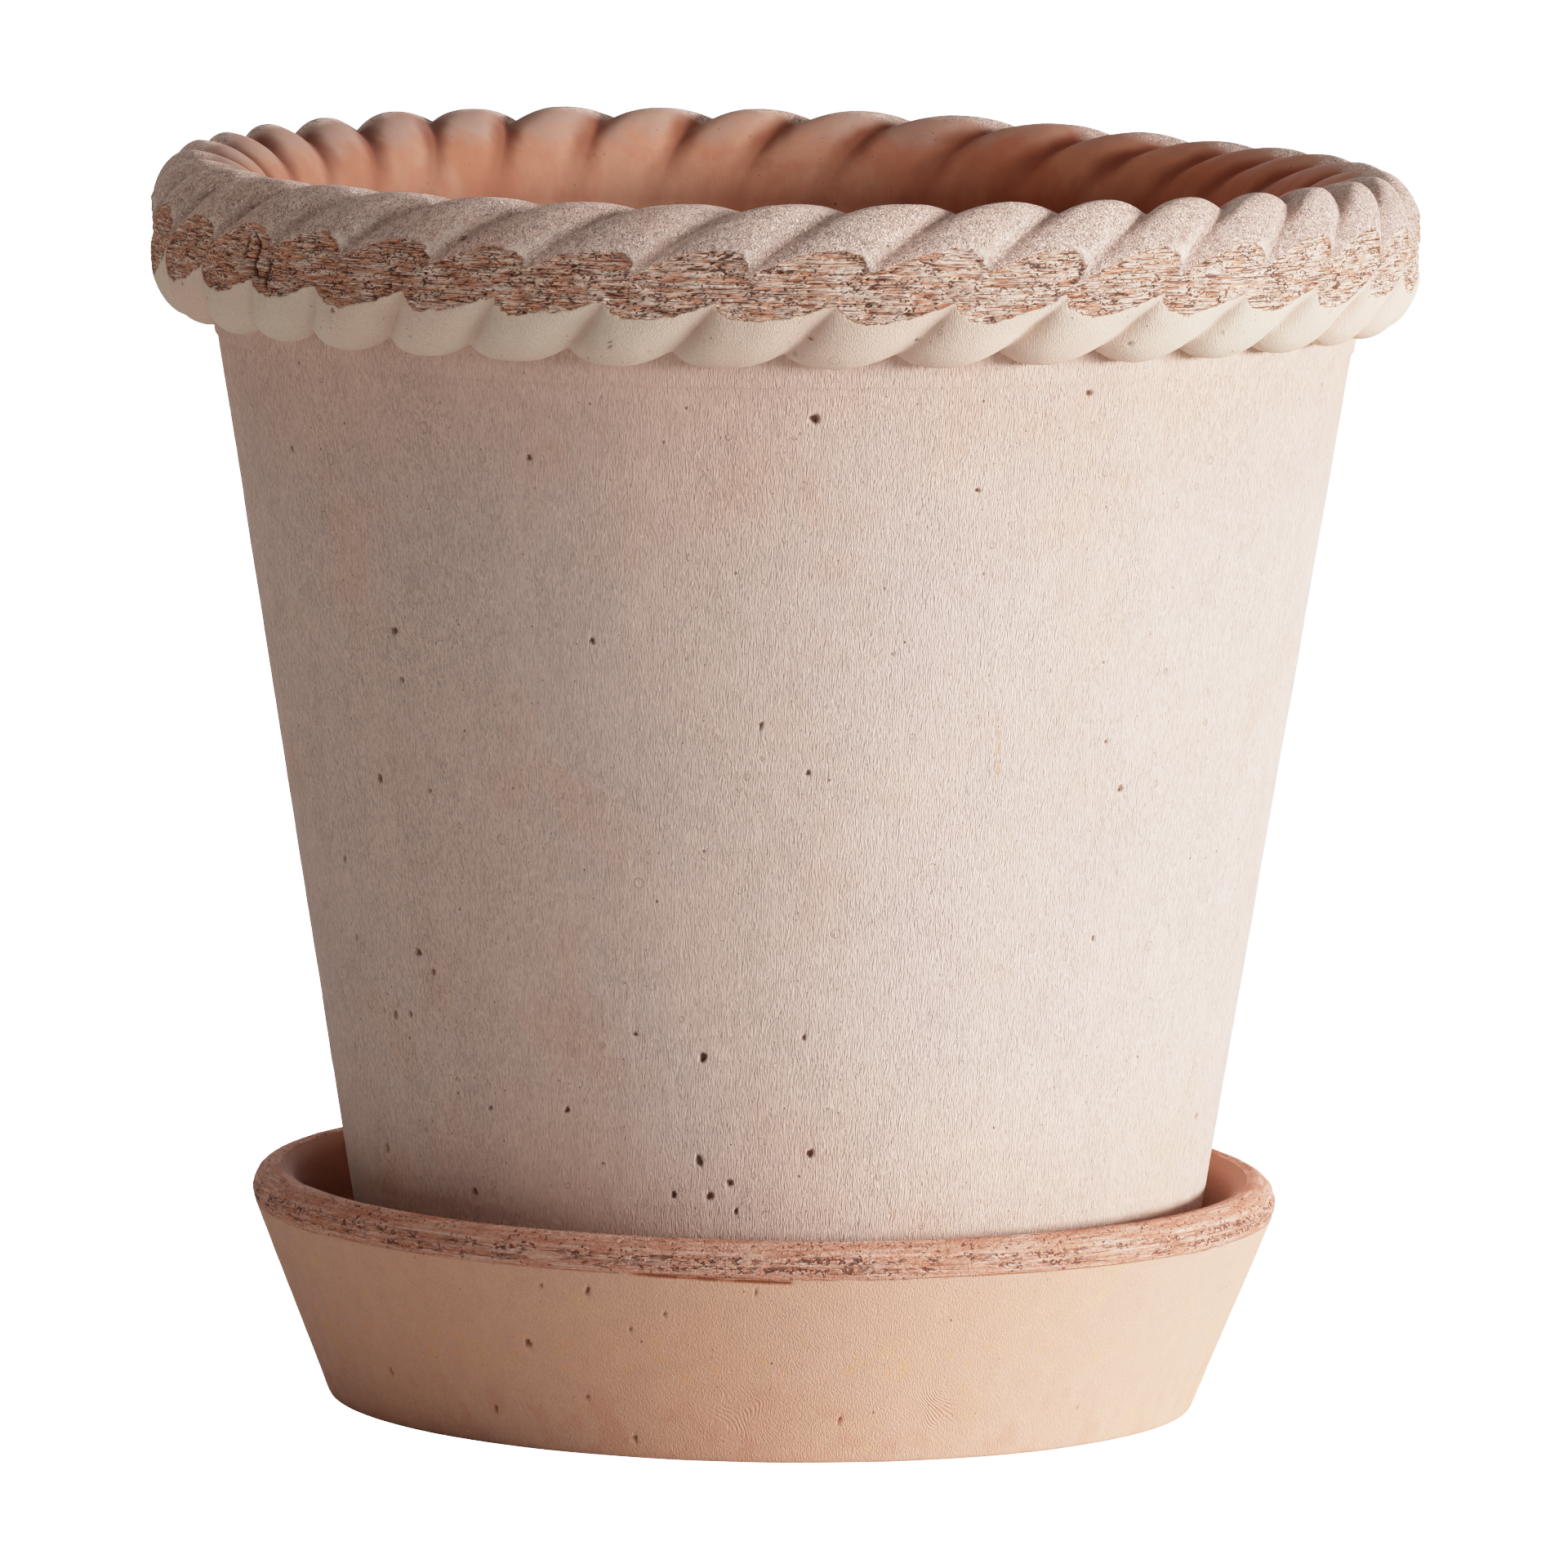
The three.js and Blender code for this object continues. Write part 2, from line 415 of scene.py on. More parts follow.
# Where each groove crosses the outermost line, in degrees: hand-twisted, so the pitch wanders
GROOVES = [
    -74.3, -63.6, -54.0, -44.8, -34.5, -25.2, -14.9, -4.9, 5.6, 16.1, 26.1, 36.1,
    46.1, 56.0, 66.1, 75.4, 86.9, 98.2, 107.2, 116.0, 126.2, 135.6, 146.3, 157.5,
    167.7, 177.4, 187.6, 198.3, 208.0, 218.0, 228.0, 238.0, 247.6, 257.0, 266.6, 276.2,
]
STRANDS = len(GROOVES)
# phi, helix travel in degrees
twist_at = smooth_table([
    (-130, -6.1), (-110, -6.0), (-86, -5.6), (-60, -4.5), (-40, -3.2), (-20, -1.65),
    (-5.7, -0.55), (12, 1.35), (30, 3.4), (50, 5.8), (70, 8.1), (90, 10.3), (97, 11.05),
    (120, 13.2), (150, 15.8), (180, 18.3), (200, 19.8),
])
# phi, how much of the groove's depth is left
groove_depth_at = smooth_table([
    (-130, 1), (70, 1), (92, 0.97), (110, 0.84), (130, 0.58), (152, 0.32), (174, 0.12), (200, 0.0),
])
# Upright cracks, three at the front left and two at the back:
# angle in degrees, middle height, half height, width, depth in mm
BAND_CRACKS = [
    (-54.9, 167.2, 4.0, 0.42, 1.0), (-53.2, 164.8, 2.9, 0.36, 0.8), (-56.4, 168.2, 2.2, 0.24, 0.4),
    (128.0, 166.0, 3.0, 0.32, 0.6), (206.5, 165.2, 2.6, 0.32, 0.6),
]


def strand_columns():
    """The rim's mesh lines, with what makes each strand fatter, deeper or flatter."""
    rng = np.random.default_rng(20240611)
    grooves = np.array(GROOVES)
    pitch = np.diff(np.append(grooves, grooves[0] + 360))
    # unequal steps between one groove and the next
    step = np.arange(COLS_PER_STRAND) / COLS_PER_STRAND
    step = step - 0.35 / TAU * np.sin(TAU * step)
    place = np.arange(STRANDS * COLS_PER_STRAND) / COLS_PER_STRAND
    middles, around = np.arange(STRANDS) + 0.5, np.arange(-1, STRANDS + 2)
    fat = np.take(rng.uniform(-1, 1, STRANDS), around, mode="wrap")
    depth = rng.uniform(0.8, 1.15, STRANDS + 1)
    depth[-1] = depth[0]
    strand = np.repeat(np.arange(STRANDS), COLS_PER_STRAND)
    return SimpleNamespace(
        angle=(grooves[:, None] + pitch[:, None] * step[None, :]).ravel(),
        across=np.tile(2 * step - 1, STRANDS),  # -1 and 1 in the grooves
        fat=np.interp(place, around + 0.5, fat),
        depth_before=depth[strand],
        depth_after=depth[strand + 1],
        power=np.interp(place, middles, rng.uniform(2.1, 2.9, STRANDS)),
        cream=np.interp(place, middles, rng.uniform(0.4, 1.0, STRANDS)),
    )


def fullness(cols, phi):
    """0 in a groove, 1 on a crown; crowns lean one way below the band, the other way above."""
    low = ease(phi, 3.0, -12.0) * (1 - 0.6 * ease(phi, -50.0, -100.0))
    high = ease(phi, -3.0, 12.0) * (1 - ease(phi, 40.0, 85.0))
    t = ((cols.across + 1) / 2) ** (1 - 0.30 * low)
    t = 1 - (1 - t) ** (1 - 0.22 * high)
    across = 2 * t - 1
    depth = np.where(across < 0, cols.depth_before, cols.depth_after)
    # the groove's bottom is slightly rounded
    rounded = np.clip(1.02 - np.sqrt((1 - np.abs(across)) ** 2 + 0.055**2), 0, 1.0)
    return 1 - depth * rounded**cols.power


def rope_outline(cols, phi):
    """Radius and height of the roll's surface on every column."""
    full = 1 - groove_depth_at(phi) * (1 - fullness(cols, phi))
    low = ease(phi, 4.0, -20.0)
    half_height = 8.75 + 2.45 * full + 0.12 * cols.fat
    half_out = 6.1 + (0.74 - 0.26 * low) * full + 0.10 * cols.fat
    half_in = 11.0 + 1.6 * full
    # away from the flat band the grooves cut deeper into the roll
    half_out = half_out - (1.0 + 0.9 * low) * ease(abs(phi), 12.0, 42.0) * (1 - full)
    # fuller under the left side, slimmer under the right, a little higher at the back
    angle = wrapped(cols.angle + twist_at(phi), 360)
    left, right, back = (
        bump(wrapped(angle - centre, 360), width)
        for centre, width in ((-90.0, 22.0), (90.0, 22.0), (162.0, 12.0))
    )
    under = ease(phi, 0.0, -35.0)
    half_height = (
        half_height + (0.8 * left - 0.3 * right) * under + 0.6 * back * ease(phi, 30.0, 80.0)
    )
    half_out = half_out + 0.4 * left * under
    cosine = math.cos(math.radians(phi))
    half = half_out if (cosine > 0 or phi < 0) else half_in
    return ROPE_R + cosine * half, ROPE_Z + half_height * math.sin(math.radians(phi))


def rim_rows(cols):
    """Angle, radius, height and phi of every rim point, from the outer seam to the inner one."""

    def phi_step(phi):
        away = np.abs(phi)  # fine over the torn band
        return 0.95 + 1.05 * ease(away, 26, 40) + 0.3 * ease(away, 60, 100)

    rows = []
    # wall below the rope
    _, first_z = rope_outline(cols, PHI_START)
    for k in range(9):
        z = SEAM_Z + (first_z - SEAM_Z) * (k / 9)
        rows.append((cols.angle + twist_at(PHI_START), wall_radius(z), z, -130.0))
    for phi in spread(PHI_START, PHI_END, phi_step):
        rows.append((cols.angle + twist_at(phi), *rope_outline(cols, phi), phi))
    # inner wall under the roll
    last_r, last_z = rope_outline(cols, PHI_END)
    for k in range(1, 15):
        t = k / 14
        z = last_z + (SEAM_IN_Z - last_z) * t
        radius = last_r + (inner_radius(z) - last_r) * ease(t, 0, 1)
        rows.append((cols.angle + twist_at(PHI_END) + 1.2 * t, radius, z, PHI_END + 12 * t))
    angle, radius, height, phi = (np.array(part) for part in zip(*rows))
    return np.radians(angle), radius, height, phi[:, None]


def tear_band(angle, radius, height, phi):
    """Cuts the torn flat band into the roll: the new radius and the band's masks."""
    rough = partial(fractal, angle, height, 90)
    in_band = np.abs(phi) < 60
    cut = (
        CUT_R + 0.04
        + 0.14 * rough(cell=(5.5, 2.2), seed=31, octaves=3)
        + 0.13 * rough(cell=(1.1, 0.7), seed=32)
    )
    edge = radius - cut
    torn = ease(edge, 0.0, 0.07) * in_band
    ridges = 0.14 * rough(cell=(8.0, 0.50), seed=41) + 0.10 * rough(cell=(3.0, 0.38), seed=42)
    crack = ease(np.abs(rough(cell=(6.0, 1.3), seed=44)), 0.055, 0.0)
    crack = crack * ease(rough(cell=(5, 3), seed=45), -0.2, 0.15)
    hole = ease(rough(cell=(1.0, 0.6), seed=46), 0.40, 0.54)
    # patches where a thin layer has come off
    flake = rough(cell=(5.5, 0.8), seed=47, octaves=3) - 0.20 * np.sin(angle)
    flake = ease(flake, 0.09, 0.15)
    relief = -0.26 + ridges - 0.18 * flake - 0.32 * crack - 0.50 * hole
    radius = np.where(
        (edge > 0) & in_band, cut + relief * (ease(edge, 0.0, 0.16) * in_band), radius
    )
    for degrees, middle, half_height, width, depth in BAND_CRACKS:
        centre = np.radians(degrees + 0.35 * np.sin((height - middle) * 1.1))
        gash = bump(wrapped(angle - centre) * 90, width)
        gash = gash * ease(np.abs(height - middle), half_height, half_height * 0.6) * in_band
        radius = radius - depth * gash
        crack = np.maximum(crack, gash)
    return radius, torn, flake, hole, crack


def make_rim():
    cols = strand_columns()
    angle, radius, height, phi = rim_rows(cols)
    # the wall carries on behind the roll, with a soft crease
    wall, crease = wall_radius(height), 0.65
    proud = radius - wall
    blend = crease * (np.clip(proud / (2 * crease), -1, 1) + 1) ** 2 / 2
    soft = np.where(proud > 2 * crease, radius, wall + blend)
    radius = np.where(phi < 60, soft, radius)
    # low unevenness of the modelled clay
    uneven = 0.10 * fractal(angle, height, 88, cell=(9.0, 6.0), seed=21, octaves=3)
    radius = radius + uneven * ease(phi, -120, -100)
    lift = 0.07 * fractal(angle, height + radius, 88, cell=(5.0, 5.0), seed=22)
    lift = lift * ease(phi, 20, 60)

    radius, torn, flake, hole, crack = tear_band(angle, radius, height, phi)
    pit = np.zeros_like(radius)
    for degrees, z, size in RIM_PITS:
        across = wrapped(angle - math.radians(degrees)) * 88
        distance = np.hypot(across, height - z) / (size / 2)
        hollow = ease(distance, 1.15, 0.75) * (np.abs(phi) < 75)
        radius = radius - 0.4 * size * hollow
        pit = np.maximum(pit, hollow)

    inside_noise = partial(fractal, angle, height, 76, octaves=3)
    inner = phi + 14 * inside_noise(cell=(9, 6), seed=62) - 6 * np.cos(angle)
    # painted shade in the grooves; inside, the grooves turn into broad soft shadows of redder clay
    off_crown = np.abs(cols.across)
    groove = ease(off_crown, 0.76, 1.0) * ease(phi, -125, -100) * (1 - torn)
    inner_groove_shade = ease(off_crown + 0.26 * inside_noise(cell=(6.0, 5.0), seed=64), 0.42, 0.92)
    inner_groove_shade = inner_groove_shade * ease(phi, 84, 106) * (1 - 0.75 * ease(phi, 130, 180))
    groove = np.maximum(groove * (1 - ease(phi, 90, 110)), inner_groove_shade)
    # smooth cream slip gathered above the band, at one end of each strand
    slip_noise = partial(fractal, angle, height, 90, octaves=3)
    blob = np.hypot((cols.across - 0.62) / 0.36, (phi - 19) / 12.0)
    blob = blob + 0.35 * slip_noise(cell=(2.4, 2.0), seed=61)
    trail = np.hypot((cols.across - 0.80) / 0.12, (phi - 36) / 20.0)
    trail = trail + 0.4 * slip_noise(cell=(2.0, 3.0), seed=63)
    cream = np.maximum(ease(blob, 1.05, 0.75), 0.6 * ease(trail, 1.0, 0.6))

    points = pot_place(angle, radius, height + lift)
    steps = np.linalg.norm(np.diff(points, axis=0), axis=-1).mean(axis=1)
    arcs = np.concatenate([[0], np.cumsum(steps)])
    count = len(cols.angle)
    surface = Surface()
    surface.stack(
        np.arange(count) / count,
        points,
        arcs,
        torn=torn,
        flake=flake * torn,
        hole=np.maximum(hole * torn, pit),
        crack=crack * torn,
        upper=ease(phi, -4, 14),
        inner=ease(inner, 90, 110),
        groove=groove,
        cream=cream * (phi > 0) * (phi < 80) * cols.cream,
        rope=np.maximum(ease(radius - wall, 0.10, 1.1), ease(phi, -75, -60)),
    )
    surface.skin((strips(3, bottom=0.0, height=0.965, arcs=(0.0, arcs[-1])), len(arcs) - 1))
    # the cap across the wall at the seam has a chart of its own
    first, last = surface.rings[0], surface.rings[-1]
    last.arc, first.arc = 0.0, 1.0
    cap_chart = strips(1, bottom=0.97, height=0.03, arcs=(0.0, 1.0))
    surface.band(last, first, cap_chart, cap=True)
    return surface.mesh("pot_rim")


# ------------------------------------------------------------------ the pot below the seam
UNDERSIDE_COARSE = (DRAIN_R + 0.6, 12.5, 20, 28, 36, 44)  # radii
UNDERSIDE_FINE = (49.0, 52.0, 54.0)
FOOT_ROUND = 1.4  # radius of the foot's rounded edge
# radius, height
FILLET = [(50.2, 24.0), (49.9, 22.3), (49.1, 20.4), (47.9, 18.9), (46.4, 18.0), (44.6, 17.55)]
POT_FLOOR = [
    *((radius, POT_FLOOR_Z) for radius in (41.0, 34, 27, 20, 15, 12)),
    (10.9, 17.4), (10.25, 17.0),
]
DRAIN_HEIGHTS = (15.5, 13.0, 11.0, 9.4, 8.9)


def add_wall(surface, pits, columns):
    """The turned outer wall: soft unevenness, faint throwing rings and pits."""
    turn, angle = columns
    step = finer_at([pit[1] for pit in pits], base=0.62, fine=0.24, reach=0.75)
    height = spread(10.2, SEAM_Z, step)[:, None]
    rough = partial(fractal, angle, height, 72)
    uneven = (
        0.10 * rough(cell=(26, 18), seed=71, octaves=3)
        + 0.035 * rough(cell=(70, 2.6), seed=72)
        + 0.03 * rough(cell=(3.2, 6), seed=73)
    )
    take, dark = dig_pits(angle, height, 70.0, pits, depth=0.75)
    # the unevenness dies out towards the seam
    radius = wall_radius(height) + uneven * np.clip((SEAM_Z - height) / 5.0, 0, 1) - take
    surface.stack(turn, pot_place(angle, radius, height), np.zeros(len(height)), dark=dark)


def profile_arcs(rings):
    """Distance along the profile through the rings' mean radii and heights."""
    profile = []
    for ring in rings:
        centre = ring.points.mean(0)
        radius = np.linalg.norm(ring.points[:, :2] - centre[:2], axis=1).mean()
        profile.append((radius, centre[2]))
    return path_length(np.array(profile))


def make_body():
    pits = WALL_PITS + back_pits(14, low=20, high=146, seed=7)
    columns = pitted_columns(pits, base=0.62, fine=0.24, reach=0.75, radius=70)
    coarse, medium = circle(180), circle(360)
    surface = Surface()
    rings = surface.rings

    def turned(around, radius, z, rough=0.05, **attributes):
        """One slightly uneven ring."""
        turn, angle = around
        wave = fractal(angle, z * 3.1 + radius * 1.7, 40, cell=(6, 6), seed=81)
        lift = fractal(angle, radius * 2.3, 40, cell=(7, 7), seed=82)
        points = pot_place(angle, radius + rough * wave, z + rough * 0.6 * lift)
        surface.ring(turn, points, **attributes)

    for around, radii in ((coarse, UNDERSIDE_COARSE), (medium, UNDERSIDE_FINE)):
        for radius in radii:
            turned(around, radius, FOOT_Z, foot_dirt=1.0)
    outer_start = len(rings) + 1
    # rounded foot edge, on the wall's own columns
    for k, slant in enumerate(np.radians(np.linspace(0, 80, 9))):
        radius = FOOT_R - 1.35 + FOOT_ROUND * math.sin(slant)
        z = FOOT_Z + FOOT_ROUND * (1 - math.cos(slant))
        turned(columns, radius, z, rough=0.06, foot_dirt=1.0 - k / 9)
    add_wall(surface, pits, columns)
    wall_end = len(rings) - 1
    # across the wall at the seam, then down the inside
    turn, angle = columns
    for z in np.linspace(SEAM_IN_Z, 150, 9):
        surface.ring(turn, pot_place(angle, inner_radius(z), z), inner=1.0)
    turn, angle = medium
    for z in np.linspace(148, 26, 82):
        rough = partial(fractal, angle, z, 60)
        uneven = 0.12 * rough(cell=(80, 3.2), seed=91) + 0.12 * rough(cell=(14, 9), seed=92)
        surface.ring(turn, pot_place(angle, inner_radius(z) + uneven, z), inner=1.0)
    for radius, z in FILLET:
        turned(medium, radius, z, inner=1.0, pot_floor=0.5)
    inner_end = len(rings) - 1
    for radius, z in POT_FLOOR:
        turned(coarse, radius, z, inner=1.0, pot_floor=1.0)
    floor_end = len(rings) - 1
    for z in DRAIN_HEIGHTS:
        turned(coarse, DRAIN_R, z, rough=0.04, inner=1.0, pot_floor=1.0)

    arcs = profile_arcs(rings)
    for ring, arc in zip(rings, arcs):
        ring.arc = arc
    # the drain's last band closes on the first ring, whose other band doesn't use its arc
    rings[0].arc = arcs[-1] + 1
    inner_start = wall_end + 1
    outer = strips(2, bottom=0.225, height=0.62, arcs=(arcs[outer_start], arcs[wall_end]))
    cap = strips(1, bottom=0.972, height=0.026, arcs=(arcs[wall_end], arcs[inner_start]))
    inner = strips(1, bottom=0.85, height=0.12, arcs=(arcs[inner_start], arcs[inner_end]))
    drain_arcs = (arcs[floor_end], arcs[-1] + 1)
    drain = strips(1, bottom=0.195, height=0.028, arcs=drain_arcs, width=0.6)
    surface.skin(
        (disc((0.88, 0.09), radius_uv=0.085, radius_mm=60), outer_start),
        (outer, wall_end - outer_start),
        (cap, 1),
        (inner, inner_end - inner_start),
        (disc((0.70, 0.09), radius_uv=0.085, radius_mm=60), floor_end - inner_end),
        (drain, len(rings) - floor_end),
        cap=cap,
    )
    return surface.mesh("pot_body")


# ------------------------------------------------------------------ the saucer
# radius, height, corner radius: up the outside, over the lip, into the inside's top
SAUCER_OUTSIDE = [
    (59.5, 0.0, 0), (61.75, 0.0, 0.35), (72.75, 27.6, 0.9), (73.35, 29.2, 1.2), (72.5, 31.6, 1.6),
    (70.6, 32.75, 1.2), (69.1, 32.6, 0.7), (67.2, 31.4, 1.4), (66.3, 28.5, 1.5), (65.4, 24.0, 0),
]
# and on down the inside to the floor
SAUCER_INSIDE = [
    (65.4, 24.0, 0), (62.3, 12.0, 2.0), (61.6, 9.6, 1.2), (60.3, 8.15, 1.4), (57.0, 8.0, 0),
]
# point count, radii, height, roughness
SAUCER_UNDERSIDE = [
    (48, (3.0, 7.0), SAUCER_UNDER_Z, 0.03),
    (240, (14.0, 24.0, 34.0, 44.0), SAUCER_UNDER_Z, 0.03),
    (480, (52.0,), SAUCER_UNDER_Z, 0.03),
    (480, (54.0,), 0.2, 0.0),
    (480, (56.0,), 0.0, 0.0),
]
# point count, radii
SAUCER_FLOOR = [(480, (54.0, 51.0)), (240, (46.0, 38.0, 30.0, 22.0, 15.0)), (48, (8.0, 3.0))]
# Pale lines along the lip: distance past the lip's start, width in mm, seed
LIP_LINES = [(1.95, 0.085, 114), (2.30, 0.085, 115), (0.80, 0.085, 116), (3.65, 0.16, 117)]
# Long scratches under the lip: first and last angle in degrees, slant, width, depth in mm
SCRATCHES = [(-15.5, 3.6, 0.75, 0.24, 0.38), (150, 163, 0.6, 0.2, 0.25), (-118, -108, 0.7, 0.2, 0.25)]
# Thumb-sized dabs low on the wall: angle in degrees, height in mm
DABS = [
    (-34, 6.5), (-1.5, 7.0), (21.5, 7.5), (74, 7), (131, 6.5), (188, 7.5), (243, 6.8), (297, 7.2),
]


def round_profile(corners, step):
    """Points along a polyline with rounded corners, spaced by step(radius, height)."""
    points = []
    for i, (radius, z, rounding) in enumerate(corners):
        corner = np.array([radius, z])
        if rounding == 0:
            points.append(corner)
            continue
        before, after = (np.array(corners[j][:2], float) - corner for j in (i - 1, i + 1))
        length_before, length_after = np.linalg.norm(before), np.linalg.norm(after)
        reach = min(rounding, length_before * 0.5, length_after * 0.5)
        start = corner + before / length_before * reach
        stop = corner + after / length_after * reach
        for t in np.linspace(0, 1, 13):
            points.append((1 - t) ** 2 * start + 2 * t * (1 - t) * corner + t * t * stop)
    points = np.array(points)
    arc = path_length(points)
    keep = np.concatenate([[True], np.diff(arc) > 1e-9])
    (radii, heights), arc = points[keep].T, arc[keep]
    places = spread(
        0, arc[-1], lambda x: step(np.interp(x, arc, radii), np.interp(x, arc, heights))
    )
    return np.interp(places, arc, radii), np.interp(places, arc, heights)


def outside_step(radius, z):
    """Mesh spacing: finest over the lip."""
    step = np.where((z > 26.4) & (radius > 67.5), 0.2, 0.55)
    return np.where((radius < 68.0) & (z > 23), 0.5, step)


def saucer_place(angle, radius, z):
    x, y = radius * np.sin(angle) + SHIFT_X, -radius * np.cos(angle)
    return np.stack(np.broadcast_arrays(x, y, z), -1)


def tear_lip(angle, arc, lip_arc, inner_arc):
    """Relief of the torn skin between two arc lengths, and its masks."""
    rough = partial(fractal, angle, arc, 73)
    around = partial(fractal, angle, 0.0, 73)
    past = arc - lip_arc
    # the torn skin starts along a slightly wandering line under the widest point
    start = lip_arc + 0.35 * around(cell=(30, 10), seed=101, octaves=3)
    start = start + 0.12 * rough(cell=(2.0, 1.0), seed=102)
    end = inner_arc + 0.05 * fractal(angle, 0.0, 70, cell=(12, 10), seed=103)
    lip = ease(arc - start, 0.0, 0.14) * ease(end - arc, 0.0, 0.25)
    ridges = 0.10 * rough(cell=(9.0, 0.7), seed=104) + 0.05 * rough(cell=(1.6, 0.6), seed=105)
    crack = ease(np.abs(rough(cell=(8.0, 1.4), seed=106)), 0.05, 0.0)
    crack = crack * ease(rough(cell=(6, 2), seed=107), 0.0, 0.25)
    # cracks gather along the middle line of the lip
    middle = bump(past - 1.9 - 0.25 * around(cell=(16, 10), seed=108), 0.14)
    broken = fractal(angle, 3.0, 73, cell=(7, 4), seed=109, octaves=3)
    crack = np.maximum(crack * 0.6, middle * ease(broken, 0.0, 0.2))
    hole = ease(rough(cell=(1.1, 0.8), seed=110), 0.40, 0.58)
    hole = hole * ease(rough(cell=(7, 4), seed=111), -0.1, 0.25)
    # two wandering rows where more holes sit
    wander = 0.22 * around(cell=(22, 10), seed=113)
    row = np.maximum(bump(past - 1.35 - wander, 0.42), bump(past - 2.75 + wander, 0.45))
    row_hole = ease(rough(cell=(1.0, 0.6), seed=118), 0.22, 0.40) * row
    crowd = ease(fractal(angle, 1.0, 73, cell=(9, 4), seed=119), -0.25, 0.1)
    hole = np.maximum(hole, row_hole * crowd)
    light = np.zeros_like(lip)
    for offset, width, seed in LIP_LINES:
        broken = fractal(angle, offset, 73, cell=(6, 4), seed=seed, octaves=3)
        line = bump(past - offset - wander, width) * ease(broken, -0.12, 0.15)
        light = np.maximum(light, line)
    relief = lip * (-0.10 + ridges - 0.26 * crack - 0.36 * hole + 0.07 * light)

    scratch = np.zeros_like(lip)
    for first, last, slant, width, depth in SCRATCHES:
        along = (np.degrees(angle) - first) / (last - first)
        middle = lip_arc - slant * (along - 0.35) - 0.12
        gash = bump(arc - middle, width) * ease(along, 0, 0.12) * ease(1 - along, 0.0, 0.03)
        gash = gash * (0.55 + 0.45 * ease(rough(cell=(3, 2), seed=112), -0.3, 0.2))
        relief = relief - depth * gash
        crack = np.maximum(crack, gash)
        lip = np.maximum(lip, gash * 0.9)
        scratch = np.maximum(scratch, gash)
    flake = ease(rough(cell=(10, 2.5), seed=131, octaves=3), 0.0, 0.35)
    return relief, dict(
        lip=lip,
        crack=crack * (lip > 0.02),
        hole=hole * lip,
        flake=flake * lip,
        row=row,
        light=light * lip,
        scratch=scratch,
    )


def add_outside(surface):
    """Outside, lip and top of the inside; returns arc lengths and the lip's start."""
    pits = SAUCER_PITS + back_pits(8, low=4, high=24, seed=17)
    turn, angle = pitted_columns(pits, base=0.5, fine=0.25, reach=0.7, radius=68)
    radii, heights = round_profile(SAUCER_OUTSIDE, outside_step)
    count = len(radii)
    arcs = path_length(np.stack([radii, heights], -1))
    # outward normal of the profile
    normal_r, normal_z = np.gradient(heights, arcs)[:, None], -np.gradient(radii, arcs)[:, None]
    arc, radius, height = arcs[:, None], radii[:, None], heights[:, None]
    rising = int(count * 0.6)
    outside = (arc < np.interp(27.6, heights[:rising], arcs[:rising])) & (radius > 61)
    lip_arc = float(arcs[np.argmax((heights > 27.4) & (radii > 70))])
    over_top = np.arange(count) > np.argmax(heights)
    inner_arc = float(arcs[np.argmax(over_top & (radii < 68.9))])

    relief, masks = tear_lip(angle, arc, lip_arc, inner_arc)
    take, dark = dig_pits(angle, height, 68.0, pits, depth=0.7)
    # turned outside: low unevenness and fine drag lines
    rough = partial(fractal, angle, height, 68)
    uneven = 0.10 * rough(cell=(24, 14), seed=121, octaves=3)
    uneven = uneven + 0.03 * rough(cell=(60, 2.2), seed=122)
    dab = np.zeros_like(relief)
    for degrees, z in DABS:
        across = wrapped(angle - math.radians(degrees)) * 65 / 6.5
        distance = np.hypot(across, (height - z) / 5.2)
        dab = np.maximum(dab, ease(distance, 1.15, 0.3) * outside)
    relief = relief + uneven - 0.10 * dab - take * outside
    # the foot stays flat on the ground
    z = np.where(height < 0.02, 0.0, np.maximum(height + normal_z * relief, 0.0))
    surface.stack(
        turn,
        saucer_place(angle, radius + normal_r * relief, z),
        arcs,
        dark=dark * outside,
        dab=dab,
        foot_dirt=np.clip(1 - arcs / 3.5, 0, 1),
        inside=((radii < 69.3) & (np.arange(count) > count // 2)).astype(float),
        **masks,
    )
    return arcs, lip_arc


